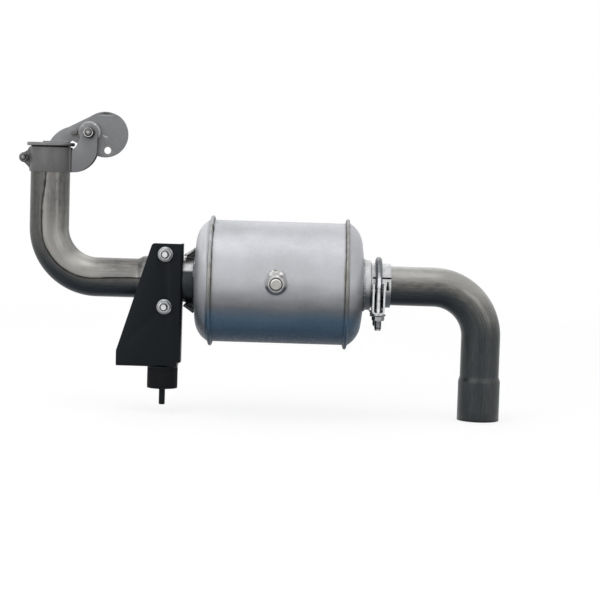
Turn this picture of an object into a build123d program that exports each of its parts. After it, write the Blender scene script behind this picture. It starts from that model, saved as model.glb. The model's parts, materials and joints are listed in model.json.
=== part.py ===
from build123d import *
import os
from math import atan2, cos, radians, sin, sqrt, tan

os.makedirs("parts", exist_ok=True)

# Driving dimensions in millimetres. The origin is the centre of the inlet elbow's lower mouth,
# +Z is up, +X runs along the muffler away from the rain cap and -Y faces the viewer.

# Places of the main axes
axis_height = 172.0            # muffler axis above the lower mouth
inlet_offset = 265.0           # middle of the muffler to the inlet pipe's upright run
outlet_offset = 300.0          # middle of the muffler to the outlet pipe's upright run
outlet_rise = 167.8            # top mouth above the muffler axis

# Tubes
tube_od = 50.8
tube_wall = 1.65
bend_radius = 63.5
slip_clearance = 0.2           # radial room between tubes that slide into each other
seat_clearance = 0.1           # room between sheet parts that are welded or bolted together

# Shell and heads
shell_radius = 79.0
sheet = 1.5
seam_offset = 87.4             # middle of each rolled seam from the middle of the muffler
seam_rise = 5.7                # from the shell to the outside of its rolled seams
hem_gap = 0.1
shell_root_radius = 2.6
hem_tip_angle = 60.0
hem_drop = 0.7
toe_radius = 4.4
inlet_dome_radius = 35.5
inlet_dome_start_angle = 33.0  # slope of the dome where it leaves the seam
inlet_dome_end_angle = 83.0    # slope where it meets the neck
outlet_dome_radius = 32.0
outlet_dome_start_angle = 30.0
outlet_dome_end_angle = 86.0

# Necks and collars at the heads
inlet_neck_od = 57.2
inlet_neck_mouth = 144.9       # from the middle of the muffler
neck_poke = 3.0                # past the inlet baffle
inlet_collar_od = 64.8
inlet_collar_length = 8.6
collar_edge = 1.2
neck_slot_width = 2.2
neck_slot_length = 23.9
neck_slot_angle = 23.0         # above the viewer's side
window_offset = 4.4            # keyhole window in from the mouth
window_bottom = -5.0
window_top = 6.5
window_width = 3.5
window_tip_width = 1.9
elbow_insertion = 32.0         # inlet elbow inside its neck
outlet_tube_od = 54.9
outlet_tube_wall = 1.7
outlet_tube_end = 165.0
outlet_tube_inner_end = -10.0
outlet_collar_od = 58.6
perforation_diameter = 6.0
perforation_rows = 3
perforations_per_row = 8
perforation_pitch = 16.0
perforation_start = 10.0       # first row from the middle of the muffler

# Elbow ends
lower_socket_od = 54.5
lower_socket_depth = 50.0
lower_socket_cone = 8.0
outlet_socket_wall = 1.65
outlet_socket_start = 128.0
outlet_socket_length = 46.4
outlet_socket_cone = 9.9

# Gussets of the outlet
gusset_sheet = 2.6
gusset_outer_height = 42.5
gusset_end_height = 33.0
gusset_width = 22.0
gusset_end = 123.0
gusset_gap = 0.2
gusset_corner = 1.5

# Inside of the muffler
baffle_offset = 60.0
baffle_lip = 8.0
baffle_bend = 1.6
can_radius = 52.0              # inside
can_wall = 1.2
can_step = 8.0
escape_slots = 8
escape_slot_length = 30.0
escape_slot_width = 8.0
escape_slot_offset = -32.0
vane_count = 8
vane_middle = 35.0
vane_depth = 20.0
vane_hub_radius = 14.0
vane_hub_depth = 16.0
vane_hub_corner = 4.0
vane_rim_wall = 1.6
vane_sheet = 1.5
vane_root_angle = 22.0
vane_tip_angle = 40.0
vane_root_chord = 13.0
vane_tip_chord = 18.0
vane_root_sink = 1.1           # root of a blade below the outside of the hub
vane_tip_sink = 0.3            # tip of a blade inside the rim's wall

# Clean-out boss and plug
boss_offset = -2.5
boss_rise = 2.7
boss_base_diameter = 29.0
boss_face_diameter = 21.0
boss_height = 9.0
boss_land = 3.6
boss_seat_depth = 3.0
boss_recess_diameter = 17.4
boss_recess_depth = 3.0
plug_diameter = 11.0
plug_flats = 12.9
plug_head_height = 8.0
plug_shank_length = 13.0
plug_clearance = 0.1
plug_shank_chamfer = 1.0

# U-bolts
rod_diameter = 8.6
thread_diameter = 9.5
inlet_clamp_offset = 129.0
inlet_leg = 56.0
inlet_thread_length = 55.0
outlet_clamp_offset = 146.0
outlet_leg = 45.0
outlet_thread_length = 26.0
rod_end_chamfer = 1.2
thread_fit = 0.05             # radial room between a thread and its nut
bolt_clearance = 0.15

# Saddle of the inlet clamp
saddle_width = 16.2
saddle_sheet = 2.3
saddle_drop = 35.0
saddle_top = 4.5
saddle_half_length = 43.0
saddle_bend = 3.4              # middle radius of the folds
saddle_hole = 10.3

# Flange nuts of the U-bolts
nut_flats = 14.3
nut_flange_diameter = 19.6
nut_height = 8.4
nut_flange_height = 1.6
nut_chamfer_angle = 30.0
nut_crown_share = 0.95
lock_nut_hex_share = 0.72
lock_nut_collar_share = 0.92
lock_nut_edge = 0.6

# Bracket
bracket_sheet = 3.0
bracket_bend = 3.0             # middle radius of the folds
bracket_top = 47.5
bracket_bottom = -111.8
bracket_right = -123.5
bracket_slant_top = -163.3     # where the slanted edge meets the top and the left edge
bracket_left = -206.8
bracket_slant_bottom = -91.9
bracket_top_corner = 5.0
bracket_flange_depth = 20.0
bracket_foot_depth = 40.4
bracket_foot_corner = 6.0
bracket_relief = 6.0
bracket_notch_clearance = 0.7
stud_hole_clearance = 0.4

# Isolator under the bracket's foot
isolator_offset = 147.5
isolator_front = -13.0
isolator_diameter = 39.5
isolator_height = 28.5
isolator_plate = 2.0
rubber_edge = 0.6
stud_diameter = 8.0
top_stud_length = 14.0
base_stud_length = 22.0
stud_end_chamfer = 0.8
isolator_nut_flats = 13.0
isolator_nut_height = 6.8

# Rain cap collar
cap_sheet = 1.5
cap_bottom = 134.6
cap_top = 166.6
pipe_clearance = 0.1
tab_gap = 3.0
tab_reach = 6.5
tab_shoulder = 30.2            # where the tab meets the collar's curve
tab_shoulder_rise = 9.1
tab_shoulder_drop = 10.2
tab_hollow_radius = 9.0
cap_bolt_offset = 34.3
cap_bolt_rise = 152.4
cap_bolt_diameter = 6.0
cap_bolt_head_flats = 10.0
cap_bolt_head_height = 4.0
cap_nut_height = 6.0
ear_gap = 18.0
cap_crease_radius = 1.6
ear_radius = 10.9              # round top of the ears, its centre from the pivot
ear_centre = 0.3
ear_centre_rise = 0.2
ear_reach = 2.0
ear_foot = 24.0
ear_toe = 20.0
ear_belly = 2.5
ear_belly_drop = 41.5
ear_heel = 10.4
ear_heel_drop = 26.0
ear_neck_drop = 5.5
ear_waist = 16.4
ear_waist_drop = 18.8
ear_throat_drop = 25.7

# Rain cap pivot
pivot_offset = 50.0
pivot_rise = 186.9
pivot_diameter = 8.0
pivot_fit = 0.06
pivot_washer_diameter = 16.0
pivot_washer_height = 1.6
pivot_spacer_diameter = 28.8
pivot_spacer_edge = 2.5
pivot_side_play = 0.25
bolt_end_reach = 2.0
pivot_nut_flats = 13.0
pivot_nut_height = 8.0
pivot_head_height = 5.3

# Lid and arm
lid_diameter = 61.4
lid_sheet = 4.5
lid_seat_gap = 0.2
lid_edge = 1.2
arm_sheet = 3.0
arm_foot_width = 14.0
arm_foot_height = 1.8
arm_foot_reach = 59.0          # far end of the foot from the pivot
arm_toe_reach = 52.0
arm_heel_reach = 25.9
arm_heel_run = 3.2
arm_low_reach = 10.2
arm_low_drop = 27.0
arm_high_reach = 12.8
arm_high_rise = 27.1
arm_back_reach = 28.0
arm_back_rise = 5.9
arm_back_radius = 38.0
weight_radius = 29.8
weight_reach = 19.9
weight_drop = -2.0
weight_fold_height = 22.1
weight_fold_angle = 24.0
weight_hole_diameter = 9.0
weight_hole_reach = 23.5
weight_hole_drop = -22.6
arm_button_radius = 4.4        # button pressed through the arm between the pivot and the lid
arm_button_height = 1.4
arm_button_reach = 19.8
arm_button_rise = 0.3
arm_button_edge = 0.9

# Places that follow from the driving dimensions
muffler_x = -inlet_offset
outlet_x = muffler_x - outlet_offset
muffler_centre = (muffler_x, 0, axis_height)
muffler_axis = Axis(muffler_centre, (1, 0, 0))
tube_radius = tube_od / 2
inlet_neck_radius = inlet_neck_od / 2
inlet_neck_bore = tube_radius + slip_clearance
outlet_tube_radius = outlet_tube_od / 2
outlet_socket_bore = outlet_tube_radius + slip_clearance
outlet_socket_radius = outlet_socket_bore + outlet_socket_wall
outlet_socket_end = outlet_socket_start + outlet_socket_length
hem_radius = sheet + hem_gap
hem_centre = shell_radius + seam_rise - sheet / 2 - hem_radius


def end_plane(side):
    """Upright plane through the muffler, x outward to one end and y away from its axis."""
    return Plane(origin=muffler_centre, x_dir=(side, 0, 0), z_dir=(0, -side, 0))


def spoke_plane(angle, radius=0):
    """Plane square to a spoke of the muffler, x along its axis; 0 degrees points at the viewer."""
    spoke = Vector(0, -cos(radians(angle)), sin(radians(angle)))
    return Plane(origin=Vector(muffler_centre) + spoke * radius, x_dir=(1, 0, 0), z_dir=spoke)


def cross_plane(distance):
    """Plane square to the muffler's axis, at a signed distance from its middle."""
    return Plane(
        origin=(muffler_x + distance, 0, axis_height), x_dir=(0, 1, 0), z_dir=(1, 0, 0)
    )


def ring(side, start, end, outer, inner, edge=0):
    """A tube on the muffler's axis between two distances from its middle."""
    with BuildPart() as tube:
        with BuildSketch(end_plane(side)):
            with Locations(((start + end) / 2, (outer + inner) / 2)):
                Rectangle(end - start, outer - inner)
        revolve(axis=muffler_axis)
        if edge:
            rims = tube.edges().filter_by(GeomType.CIRCLE).group_by(SortBy.RADIUS)[-1]
            fillet(rims, edge)
    return tube.part


# Shell: one sheet section with an out-turned flange at each end, and the hole of the clean-out
shell_middle = shell_radius - sheet / 2
boss_plane = Plane(
    origin=(muffler_x + boss_offset, -shell_radius, axis_height + boss_rise),
    x_dir=(1, 0, 0),
    z_dir=(0, -1, 0),
)
plug_bore = plug_diameter / 2 + plug_clearance

with BuildPart() as shell:
    with BuildSketch(end_plane(1)):
        with BuildLine():
            FilletPolyline(
                (-seam_offset, hem_centre),
                (-seam_offset, shell_middle),
                (seam_offset, shell_middle),
                (seam_offset, hem_centre),
                radius=shell_root_radius + sheet / 2,
            )
        trace(line_width=sheet)
    revolve(axis=muffler_axis)
    with BuildSketch(boss_plane.offset(-2 * sheet)):
        Circle(plug_bore)
    extrude(amount=4 * sheet, mode=Mode.SUBTRACT)
shell.part.label = "shell"
export_step(shell.part, "parts/shell.step")


# Heads: the hem is rolled over the shell's flange, then the dome falls to the neck
def head(side, dome_radius, start_angle, end_angle, hole_radius):
    """A pressed head and the distance that it reaches from the middle of the muffler."""
    root = seam_offset - sheet / 2 - shell_root_radius
    with BuildPart() as dome:
        with BuildSketch(end_plane(side)):
            with BuildLine():
                tip = CenterArc(
                    (root, shell_radius + shell_root_radius),
                    shell_root_radius - hem_gap - sheet / 2,
                    -hem_tip_angle,
                    hem_tip_angle,
                )
                rise = Line(tip @ 1, (seam_offset - hem_radius, hem_centre))
                roll = JernArc(rise @ 1, (0, 1), hem_radius, -180)
                drop = Line(roll @ 1, (seam_offset + hem_radius, hem_centre - hem_drop))
                toe = JernArc(drop @ 1, (0, -1), toe_radius, 90 - start_angle)
                crown = JernArc(toe @ 1, toe % 1, dome_radius - sheet / 2, start_angle - end_angle)
                fall = (crown @ 1).Y - hole_radius - sheet / 2 * cos(radians(end_angle))
                flat = PolarLine(crown @ 1, fall / sin(radians(end_angle)), direction=crown % 1)
            trace(line_width=sheet)
        revolve(axis=muffler_axis)
    return dome.part, (flat @ 1).X + sheet / 2 * sin(radians(end_angle))


inlet_dome, inlet_reach = head(
    1, inlet_dome_radius, inlet_dome_start_angle, inlet_dome_end_angle,
    inlet_neck_radius + seat_clearance,
)
outlet_dome, outlet_reach = head(
    -1, outlet_dome_radius, outlet_dome_start_angle, outlet_dome_end_angle,
    outlet_tube_radius + seat_clearance,
)
print(f"heads reach {inlet_reach:.2f} and {outlet_reach:.2f}")

with BuildPart() as inlet_head:
    add(inlet_dome)
inlet_head.part.label = "inlet_head"
export_step(inlet_head.part, "parts/inlet_head.step")

with BuildPart() as outlet_head:
    add(outlet_dome)
outlet_head.part.label = "outlet_head"
export_step(outlet_head.part, "parts/outlet_head.step")

# Collars that are welded round the necks, against the heads
with BuildPart() as inlet_collar:
    start = inlet_reach + seat_clearance
    add(ring(
        1, start, start + inlet_collar_length,
        inlet_collar_od / 2, inlet_neck_radius + seat_clearance, collar_edge,
    ))
inlet_collar.part.label = "inlet_collar"
export_step(inlet_collar.part, "parts/inlet_collar.step")

outlet_collar_start = outlet_reach + seat_clearance
outlet_collar_end = outlet_socket_start - seat_clearance
with BuildPart() as outlet_collar:
    add(ring(
        -1, outlet_collar_start, outlet_collar_end,
        outlet_collar_od / 2, outlet_tube_radius + seat_clearance, collar_edge,
    ))
outlet_collar.part.label = "outlet_collar"
export_step(outlet_collar.part, "parts/outlet_collar.step")

# Inlet neck: sawn twice lengthways so that the clamp can close it, with a keyhole window
inlet_neck_start = baffle_offset - can_step - sheet / 2 - neck_poke
with BuildPart() as inlet_neck:
    add(ring(1, inlet_neck_start, inlet_neck_mouth, inlet_neck_radius, inlet_neck_bore))
    with BuildSketch(spoke_plane(neck_slot_angle)):
        with Locations((inlet_neck_mouth, 0)):
            Rectangle(2 * neck_slot_length, neck_slot_width)
    extrude(amount=inlet_neck_od, both=True, mode=Mode.SUBTRACT)
    with BuildSketch(end_plane(1)):
        with Locations((inlet_neck_mouth - window_offset, window_bottom + window_width / 2)):
            Circle(window_width / 2)
        with Locations((inlet_neck_mouth - window_offset, window_top - window_tip_width / 2)):
            Circle(window_tip_width / 2)
        make_hull()
    extrude(amount=inlet_neck_od, mode=Mode.SUBTRACT)
inlet_neck.part.label = "inlet_neck"
export_step(inlet_neck.part, "parts/inlet_neck.step")

# Outlet tube: from inside the can to the stub that the outlet elbow slips over
with BuildPart() as outlet_tube:
    add(ring(
        -1, outlet_tube_inner_end, outlet_tube_end,
        outlet_tube_radius, outlet_tube_radius - outlet_tube_wall,
    ))
    for turn in range(perforations_per_row // 2):
        with BuildSketch(spoke_plane(360 / perforations_per_row * turn)):
            for row in range(perforation_rows):
                with Locations((-perforation_start - row * perforation_pitch, 0)):
                    Circle(perforation_diameter / 2)
        extrude(amount=outlet_tube_od, both=True, mode=Mode.SUBTRACT)
outlet_tube.part.label = "outlet_tube"
export_step(outlet_tube.part, "parts/outlet_tube.step")


# Gussets: a folded sheet whose web stands on the collar and whose flange lies along the slope
def gusset(side):
    """Stiffener between the outlet head and its collar, above (1) or below (-1) the axis."""
    web_start = outlet_collar_start + gusset_gap
    web_foot = outlet_collar_od / 2 + seat_clearance
    slope = atan2(gusset_outer_height - gusset_end_height, gusset_end - outlet_reach)
    run = (gusset_end - web_start) / cos(slope)
    top = Plane(
        origin=(muffler_x - gusset_end, 0, axis_height + side * gusset_end_height),
        x_dir=(0, -1, 0),
        z_dir=(cos(slope), 0, side * sin(slope)),
    )
    rise = 1 if top.y_dir.Z * side > 0 else -1
    with BuildPart() as folded:
        with BuildSketch(top):
            with BuildLine():
                FilletPolyline(
                    (gusset_width - gusset_sheet, -rise * gusset_sheet / 2),
                    (-gusset_sheet / 2, -rise * gusset_sheet / 2),
                    (-gusset_sheet / 2, -rise * gusset_outer_height),
                    radius=gusset_corner + gusset_sheet / 2,
                )
            trace(line_width=gusset_sheet)
        extrude(amount=run)
        with BuildSketch(end_plane(-1)):
            with BuildLine():
                Polyline(
                    (web_start, side * web_foot),
                    (web_start, side * (gusset_outer_height + gusset_sheet)),
                    (gusset_end, side * (gusset_outer_height + gusset_sheet)),
                    (gusset_end, side * web_foot),
                    close=True,
                )
            make_face()
        extrude(amount=gusset_width, both=True, mode=Mode.INTERSECT)
    return folded.part


with BuildPart() as upper_gusset:
    add(gusset(1))
upper_gusset.part.label = "upper_gusset"
export_step(upper_gusset.part, "parts/upper_gusset.step")

with BuildPart() as lower_gusset:
    add(gusset(-1))
lower_gusset.part.label = "lower_gusset"
export_step(lower_gusset.part, "parts/lower_gusset.step")


# Baffles: flanged discs with a step that the can sits on
can_end = baffle_offset - baffle_bend - seat_clearance


def baffle(side, hole_radius):
    """A flanged disc with a stepped middle and a hole for the tube that goes through it."""
    rim = shell_radius - sheet - slip_clearance - sheet / 2
    step = can_radius - seat_clearance - sheet / 2
    with BuildPart() as disc:
        with BuildSketch(end_plane(side)):
            with BuildLine():
                FilletPolyline(
                    (baffle_offset + baffle_lip, rim),
                    (baffle_offset, rim),
                    (baffle_offset, step),
                    (baffle_offset - can_step, step),
                    (baffle_offset - can_step, hole_radius),
                    radius=baffle_bend,
                )
            trace(line_width=sheet)
        revolve(axis=muffler_axis)
    return disc.part


with BuildPart() as inlet_baffle:
    add(baffle(1, inlet_neck_radius + seat_clearance))
inlet_baffle.part.label = "inlet_baffle"
export_step(inlet_baffle.part, "parts/inlet_baffle.step")

with BuildPart() as outlet_baffle:
    add(baffle(-1, outlet_tube_radius + seat_clearance))
outlet_baffle.part.label = "outlet_baffle"
export_step(outlet_baffle.part, "parts/outlet_baffle.step")

# Can between the baffles, with slots that let the thrown sparks out into the trap
with BuildPart() as inner_can:
    add(ring(1, -can_end, can_end, can_radius + can_wall, can_radius))
    for turn in range(escape_slots // 2):
        with BuildSketch(spoke_plane(360 / escape_slots * turn)):
            with Locations((escape_slot_offset, 0)):
                SlotOverall(escape_slot_length, escape_slot_width)
        extrude(amount=2 * can_radius, both=True, mode=Mode.SUBTRACT)
inner_can.part.label = "inner_can"
export_step(inner_can.part, "parts/inner_can.step")

# Swirl vanes: a hub cup, a rim and twisted blades between them, stamped as one piece
vane_rim_radius = can_radius - slip_clearance
with BuildPart() as swirl_vanes:
    with BuildSketch(end_plane(1)):
        with BuildLine():
            FilletPolyline(
                (vane_middle - vane_hub_depth / 2, vane_hub_radius - vane_rim_wall / 2),
                (vane_middle + vane_hub_depth / 2, vane_hub_radius - vane_rim_wall / 2),
                (vane_middle + vane_hub_depth / 2, 0),
                radius=vane_hub_corner,
            )
        trace(line_width=vane_rim_wall)
        with Locations((vane_middle, vane_rim_radius - vane_rim_wall / 2)):
            Rectangle(vane_depth, vane_rim_wall)
    revolve(axis=muffler_axis)
    for blade in range(vane_count):
        angle = 360 / vane_count * blade
        root = spoke_plane(angle, vane_hub_radius - vane_root_sink)
        tip = spoke_plane(angle, vane_rim_radius - vane_rim_wall + vane_tip_sink)
        middle = (vane_middle, 0)
        with BuildSketch(root):
            with Locations(middle):
                Rectangle(vane_root_chord, vane_sheet, rotation=vane_root_angle)
        with BuildSketch(tip):
            with Locations(middle):
                Rectangle(vane_tip_chord, vane_sheet, rotation=vane_tip_angle)
        loft()
swirl_vanes.part.label = "swirl_vanes"
export_step(swirl_vanes.part, "parts/swirl_vanes.step")

# Clean-out boss: a turned bung that sits on the shell, recessed for the plug's head
with BuildPart() as cleanout_boss:
    with BuildSketch(Plane(origin=boss_plane.origin, x_dir=(1, 0, 0), z_dir=(0, 0, 1))):
        with BuildLine():
            Polyline(
                (plug_bore, boss_seat_depth),
                (boss_base_diameter / 2, boss_seat_depth),
                (boss_base_diameter / 2, -boss_land),
                (boss_face_diameter / 2, -boss_height),
                (boss_recess_diameter / 2, -boss_height),
                (boss_recess_diameter / 2, boss_recess_depth - boss_height),
                (plug_bore, boss_recess_depth - boss_height),
                close=True,
            )
        make_face()
    revolve(axis=Axis(boss_plane.origin, boss_plane.z_dir))
    with BuildSketch(cross_plane(boss_offset)):
        Circle(shell_radius + seat_clearance)
    extrude(amount=boss_base_diameter, both=True, mode=Mode.SUBTRACT)
cleanout_boss.part.label = "cleanout_boss"
export_step(cleanout_boss.part, "parts/cleanout_boss.step")


def hex_head(flats, height):
    """A hexagonal head or nut blank on the XY plane with its upper corners turned off."""
    corner = flats / sqrt(3)
    crown = flats / 2 * nut_crown_share
    with BuildPart() as blank:
        with BuildSketch():
            RegularPolygon(flats / 2, 6, major_radius=False)
        extrude(amount=height)
        with BuildSketch(Plane.XZ):
            with BuildLine():
                Polyline(
                    (0, 0),
                    (corner, 0),
                    (corner, height - (corner - crown) * tan(radians(nut_chamfer_angle))),
                    (crown, height),
                    (0, height),
                    close=True,
                )
            make_face()
        revolve(axis=Axis.Z, mode=Mode.INTERSECT)
    return blank.part


def flange_nut(bore):
    """A hexagonal nut with a cone-shaped flange at its seat."""
    with BuildPart() as nut:
        add(hex_head(nut_flats, nut_height))
        with BuildSketch(Plane.XZ):
            with BuildLine():
                Polyline(
                    (0, 0),
                    (nut_flange_diameter / 2, 0),
                    (nut_flange_diameter / 2, nut_flange_height),
                    (nut_flats / 2, 2 * nut_flange_height),
                    (0, 2 * nut_flange_height),
                    close=True,
                )
            make_face()
        revolve(axis=Axis.Z)
        Hole(bore)
    return nut.part


def lock_nut(flats, height, bore):
    """A self-locking nut: a hexagon with a turned collar for its insert."""
    with BuildPart() as nut:
        add(hex_head(flats, height * lock_nut_hex_share))
        with BuildSketch():
            Circle(flats / 2 * lock_nut_collar_share)
        extrude(amount=height)
        fillet(nut.edges().group_by(Axis.Z)[-1], lock_nut_edge)
        Hole(bore)
    return nut.part


# Clean-out plug: a hexagonal head seated in the boss's recess, its shank through the shell
with BuildPart() as plug_blank:
    add(hex_head(plug_flats, plug_head_height))
    with BuildSketch():
        Circle(plug_diameter / 2)
    extrude(amount=-plug_shank_length)
    chamfer(plug_blank.edges().group_by(Axis.Z)[0], plug_shank_chamfer)

with BuildPart() as cleanout_plug:
    with Locations(boss_plane.offset(boss_height - boss_recess_depth)):
        add(plug_blank.part)
cleanout_plug.part.label = "cleanout_plug"
export_step(cleanout_plug.part, "parts/cleanout_plug.step")


# Elbows: a bent tube whose end is expanded to slip over another tube
def bent_tube(start, corner, end):
    """A tube of the exhaust's bore that turns once in the upright plane of the axes."""
    with BuildPart() as tube:
        with BuildLine(Plane.XZ) as route:
            FilletPolyline(start, corner, end, radius=bend_radius)
        with BuildSketch(Plane(origin=route.line @ 0, z_dir=route.line % 0)):
            Circle(tube_radius)
            Circle(tube_radius - tube_wall, mode=Mode.SUBTRACT)
        sweep(path=route.line)
    return tube.part


def socket_wall(depth, cone, bore, outer):
    """Section of an expanded end, x along the tube from the mouth and y from its axis."""
    with BuildSketch() as wall:
        with BuildLine():
            Polyline(
                (0, bore),
                (depth, bore),
                (depth + cone, tube_radius - tube_wall),
                (depth + cone, tube_radius),
                (depth, outer),
                (0, outer),
                close=True,
            )
        make_face()
    return wall.sketch


lower_socket_bore = tube_radius + slip_clearance
inlet_bend_tube = bent_tube(
    (muffler_x + inlet_neck_mouth - elbow_insertion, axis_height),
    (0, axis_height),
    (0, lower_socket_depth + lower_socket_cone),
)
with BuildPart() as inlet_elbow:
    add(inlet_bend_tube)
    with BuildSketch(Plane(origin=(0, 0, 0), x_dir=(0, 0, 1), z_dir=(0, -1, 0))):
        add(socket_wall(
            lower_socket_depth, lower_socket_cone, lower_socket_bore, lower_socket_od / 2
        ))
    revolve(axis=Axis.Z)
inlet_elbow.part.label = "inlet_elbow"
export_step(inlet_elbow.part, "parts/inlet_elbow.step")

outlet_bend_tube = bent_tube(
    (muffler_x - outlet_socket_end - outlet_socket_cone, axis_height),
    (outlet_x, axis_height),
    (outlet_x, axis_height + outlet_rise),
)
socket_mouth = Plane(
    origin=(muffler_x - outlet_socket_start, 0, axis_height), x_dir=(-1, 0, 0), z_dir=(0, 1, 0)
)
with BuildPart() as outlet_elbow:
    add(outlet_bend_tube)
    with BuildSketch(socket_mouth):
        add(socket_wall(
            outlet_socket_length, outlet_socket_cone, outlet_socket_bore, outlet_socket_radius
        ))
    revolve(axis=muffler_axis)
outlet_elbow.part.label = "outlet_elbow"
export_step(outlet_elbow.part, "parts/outlet_elbow.step")


# U-bolts: a bent rod whose two ends have a rolled thread of larger diameter
def u_bolt(plane, half_spread, leg, thread_length):
    """A U-bolt with its bend towards the plane's y direction, its legs against it."""
    with BuildPart() as bolt:
        with BuildLine(plane) as route:
            first = Line((-half_spread, -leg), (-half_spread, 0))
            bend = ThreePointArc(first @ 1, (0, half_spread), (half_spread, 0))
            Line(bend @ 1, (half_spread, -leg))
        with BuildSketch(Plane(origin=route.line @ 0, z_dir=route.line % 0)):
            Circle(rod_diameter / 2)
        sweep(path=route.line)
        legs = Plane(
            origin=plane.from_local_coords((0, -leg, 0)), x_dir=plane.x_dir, z_dir=plane.y_dir
        )
        with BuildSketch(legs):
            with Locations((-half_spread, 0), (half_spread, 0)):
                Circle(thread_diameter / 2)
        extrude(amount=thread_length)
        ends = bolt.edges().filter_by(GeomType.CIRCLE)
        chamfer(ends.group_by(Axis(plane.origin, plane.y_dir))[0], rod_end_chamfer)
    return bolt.part


# Inlet clamp: the U-bolt closes over the split neck from above, the saddle takes it from below
inlet_half_spread = inlet_neck_radius + seat_clearance + thread_diameter / 2
inlet_bolt_drop = inlet_half_spread - rod_diameter / 2 - inlet_neck_radius - seat_clearance
inlet_clamp_x = muffler_x + inlet_clamp_offset
inlet_bolt_plane = Plane(
    origin=(inlet_clamp_x, 0, axis_height - inlet_bolt_drop), x_dir=(0, 1, 0), z_dir=(1, 0, 0)
)
inlet_bolt = u_bolt(
    inlet_bolt_plane, inlet_half_spread, inlet_leg - inlet_bolt_drop, inlet_thread_length
)
with BuildPart() as inlet_u_bolt:
    add(inlet_bolt)
inlet_u_bolt.part.label = "inlet_u_bolt"
export_step(inlet_u_bolt.part, "parts/inlet_u_bolt.step")

with BuildPart() as inlet_saddle:
    with BuildSketch(end_plane(1)):
        half_width = saddle_width / 2 - saddle_sheet / 2
        web = saddle_sheet / 2 - saddle_drop
        with BuildLine():
            FilletPolyline(
                (inlet_clamp_offset - half_width, saddle_top),
                (inlet_clamp_offset - half_width, web),
                (inlet_clamp_offset + half_width, web),
                (inlet_clamp_offset + half_width, saddle_top),
                radius=saddle_bend,
            )
        trace(line_width=saddle_sheet)
    extrude(amount=saddle_half_length, both=True)
    with BuildSketch(cross_plane(inlet_clamp_offset)):
        Circle(inlet_neck_radius + seat_clearance)
    extrude(amount=saddle_width, both=True, mode=Mode.SUBTRACT)
    with BuildSketch(Plane(origin=(inlet_clamp_x, 0, axis_height - saddle_drop))):
        with Locations((0, -inlet_half_spread), (0, inlet_half_spread)):
            Circle(saddle_hole / 2)
    extrude(amount=2 * saddle_sheet, both=True, mode=Mode.SUBTRACT)
inlet_saddle.part.label = "inlet_saddle"
export_step(inlet_saddle.part, "parts/inlet_saddle.step")

u_bolt_nut = flange_nut(thread_diameter / 2 + thread_fit)
with BuildPart() as inlet_clamp_nuts:
    for side in (-1, 1):
        seat = Plane(
            origin=(inlet_clamp_x, side * inlet_half_spread, axis_height - saddle_drop),
            x_dir=(1, 0, 0),
            z_dir=(0, 0, -1),
        )
        with Locations(seat):
            add(u_bolt_nut)
inlet_clamp_nuts.part.label = "inlet_clamp_nuts"
export_step(inlet_clamp_nuts.part, "parts/inlet_clamp_nuts.step")

# Bracket: one folded sheet with an upright face, a flange at its right and a foot at its bottom
face_middle = -outlet_socket_radius - seat_clearance - bracket_sheet / 2
face_front = face_middle - bracket_sheet / 2
flange_end = face_front + bracket_flange_depth
foot_end = face_front + bracket_foot_depth
flange_bottom = bracket_bottom + bracket_relief
foot_right = bracket_right - bracket_bend - bracket_sheet / 2
outlet_clamp_x = muffler_x - outlet_clamp_offset
outlet_half_spread = outlet_socket_radius + bolt_clearance + rod_diameter / 2
isolator_x = muffler_x - isolator_offset
face_plane = Plane(
    origin=(outlet_clamp_x, face_middle, axis_height), x_dir=(1, 0, 0), z_dir=(0, -1, 0)
)

with BuildPart() as bracket:
    with BuildSketch(Plane(origin=(muffler_x, 0, axis_height + flange_bottom))):
        with BuildLine():
            FilletPolyline(
                (bracket_left - bracket_sheet, face_middle),
                (bracket_right - bracket_sheet / 2, face_middle),
                (bracket_right - bracket_sheet / 2, flange_end),
                radius=bracket_bend,
            )
        trace(line_width=bracket_sheet)
    extrude(amount=bracket_top - flange_bottom)
    with BuildSketch(cross_plane(bracket_left)):
        with BuildLine():
            FilletPolyline(
                (face_middle, flange_bottom + bracket_relief),
                (face_middle, bracket_bottom + bracket_sheet / 2),
                (foot_end, bracket_bottom + bracket_sheet / 2),
                radius=bracket_bend,
            )
        trace(line_width=bracket_sheet)
    extrude(amount=foot_right - bracket_left)
    with BuildSketch(end_plane(1)) as outline:
        with BuildLine():
            Polyline(
                (bracket_right, bracket_top),
                (bracket_slant_top, bracket_top),
                (bracket_left, bracket_slant_bottom),
                (bracket_left, bracket_bottom),
                (bracket_right, bracket_bottom),
                close=True,
            )
        make_face()
        top_corners = outline.vertices().group_by(Axis.Y)[-1].sort_by(Axis.X)
        fillet(top_corners[0], bracket_top_corner)
    extrude(amount=2 * bracket_foot_depth, both=True, mode=Mode.INTERSECT)
    with BuildSketch(cross_plane(bracket_right)):
        Circle(outlet_collar_od / 2 + bracket_notch_clearance)
    extrude(amount=bracket_bend + bracket_sheet / 2, both=True, mode=Mode.SUBTRACT)
    with BuildSketch(face_plane):
        with Locations((0, -outlet_half_spread), (0, outlet_half_spread)):
            Circle(thread_diameter / 2 + stud_hole_clearance)
    extrude(amount=bracket_sheet, both=True, mode=Mode.SUBTRACT)
    with BuildSketch(Plane(origin=(isolator_x, isolator_front, axis_height + bracket_bottom))):
        Circle(stud_diameter / 2 + stud_hole_clearance)
    extrude(amount=2 * bracket_sheet, both=True, mode=Mode.SUBTRACT)
    fillet(bracket.edges().filter_by(Axis.Z).group_by(Axis.Y)[-1], bracket_foot_corner)
bracket.part.label = "bracket"
export_step(bracket.part, "parts/bracket.step")

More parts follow.
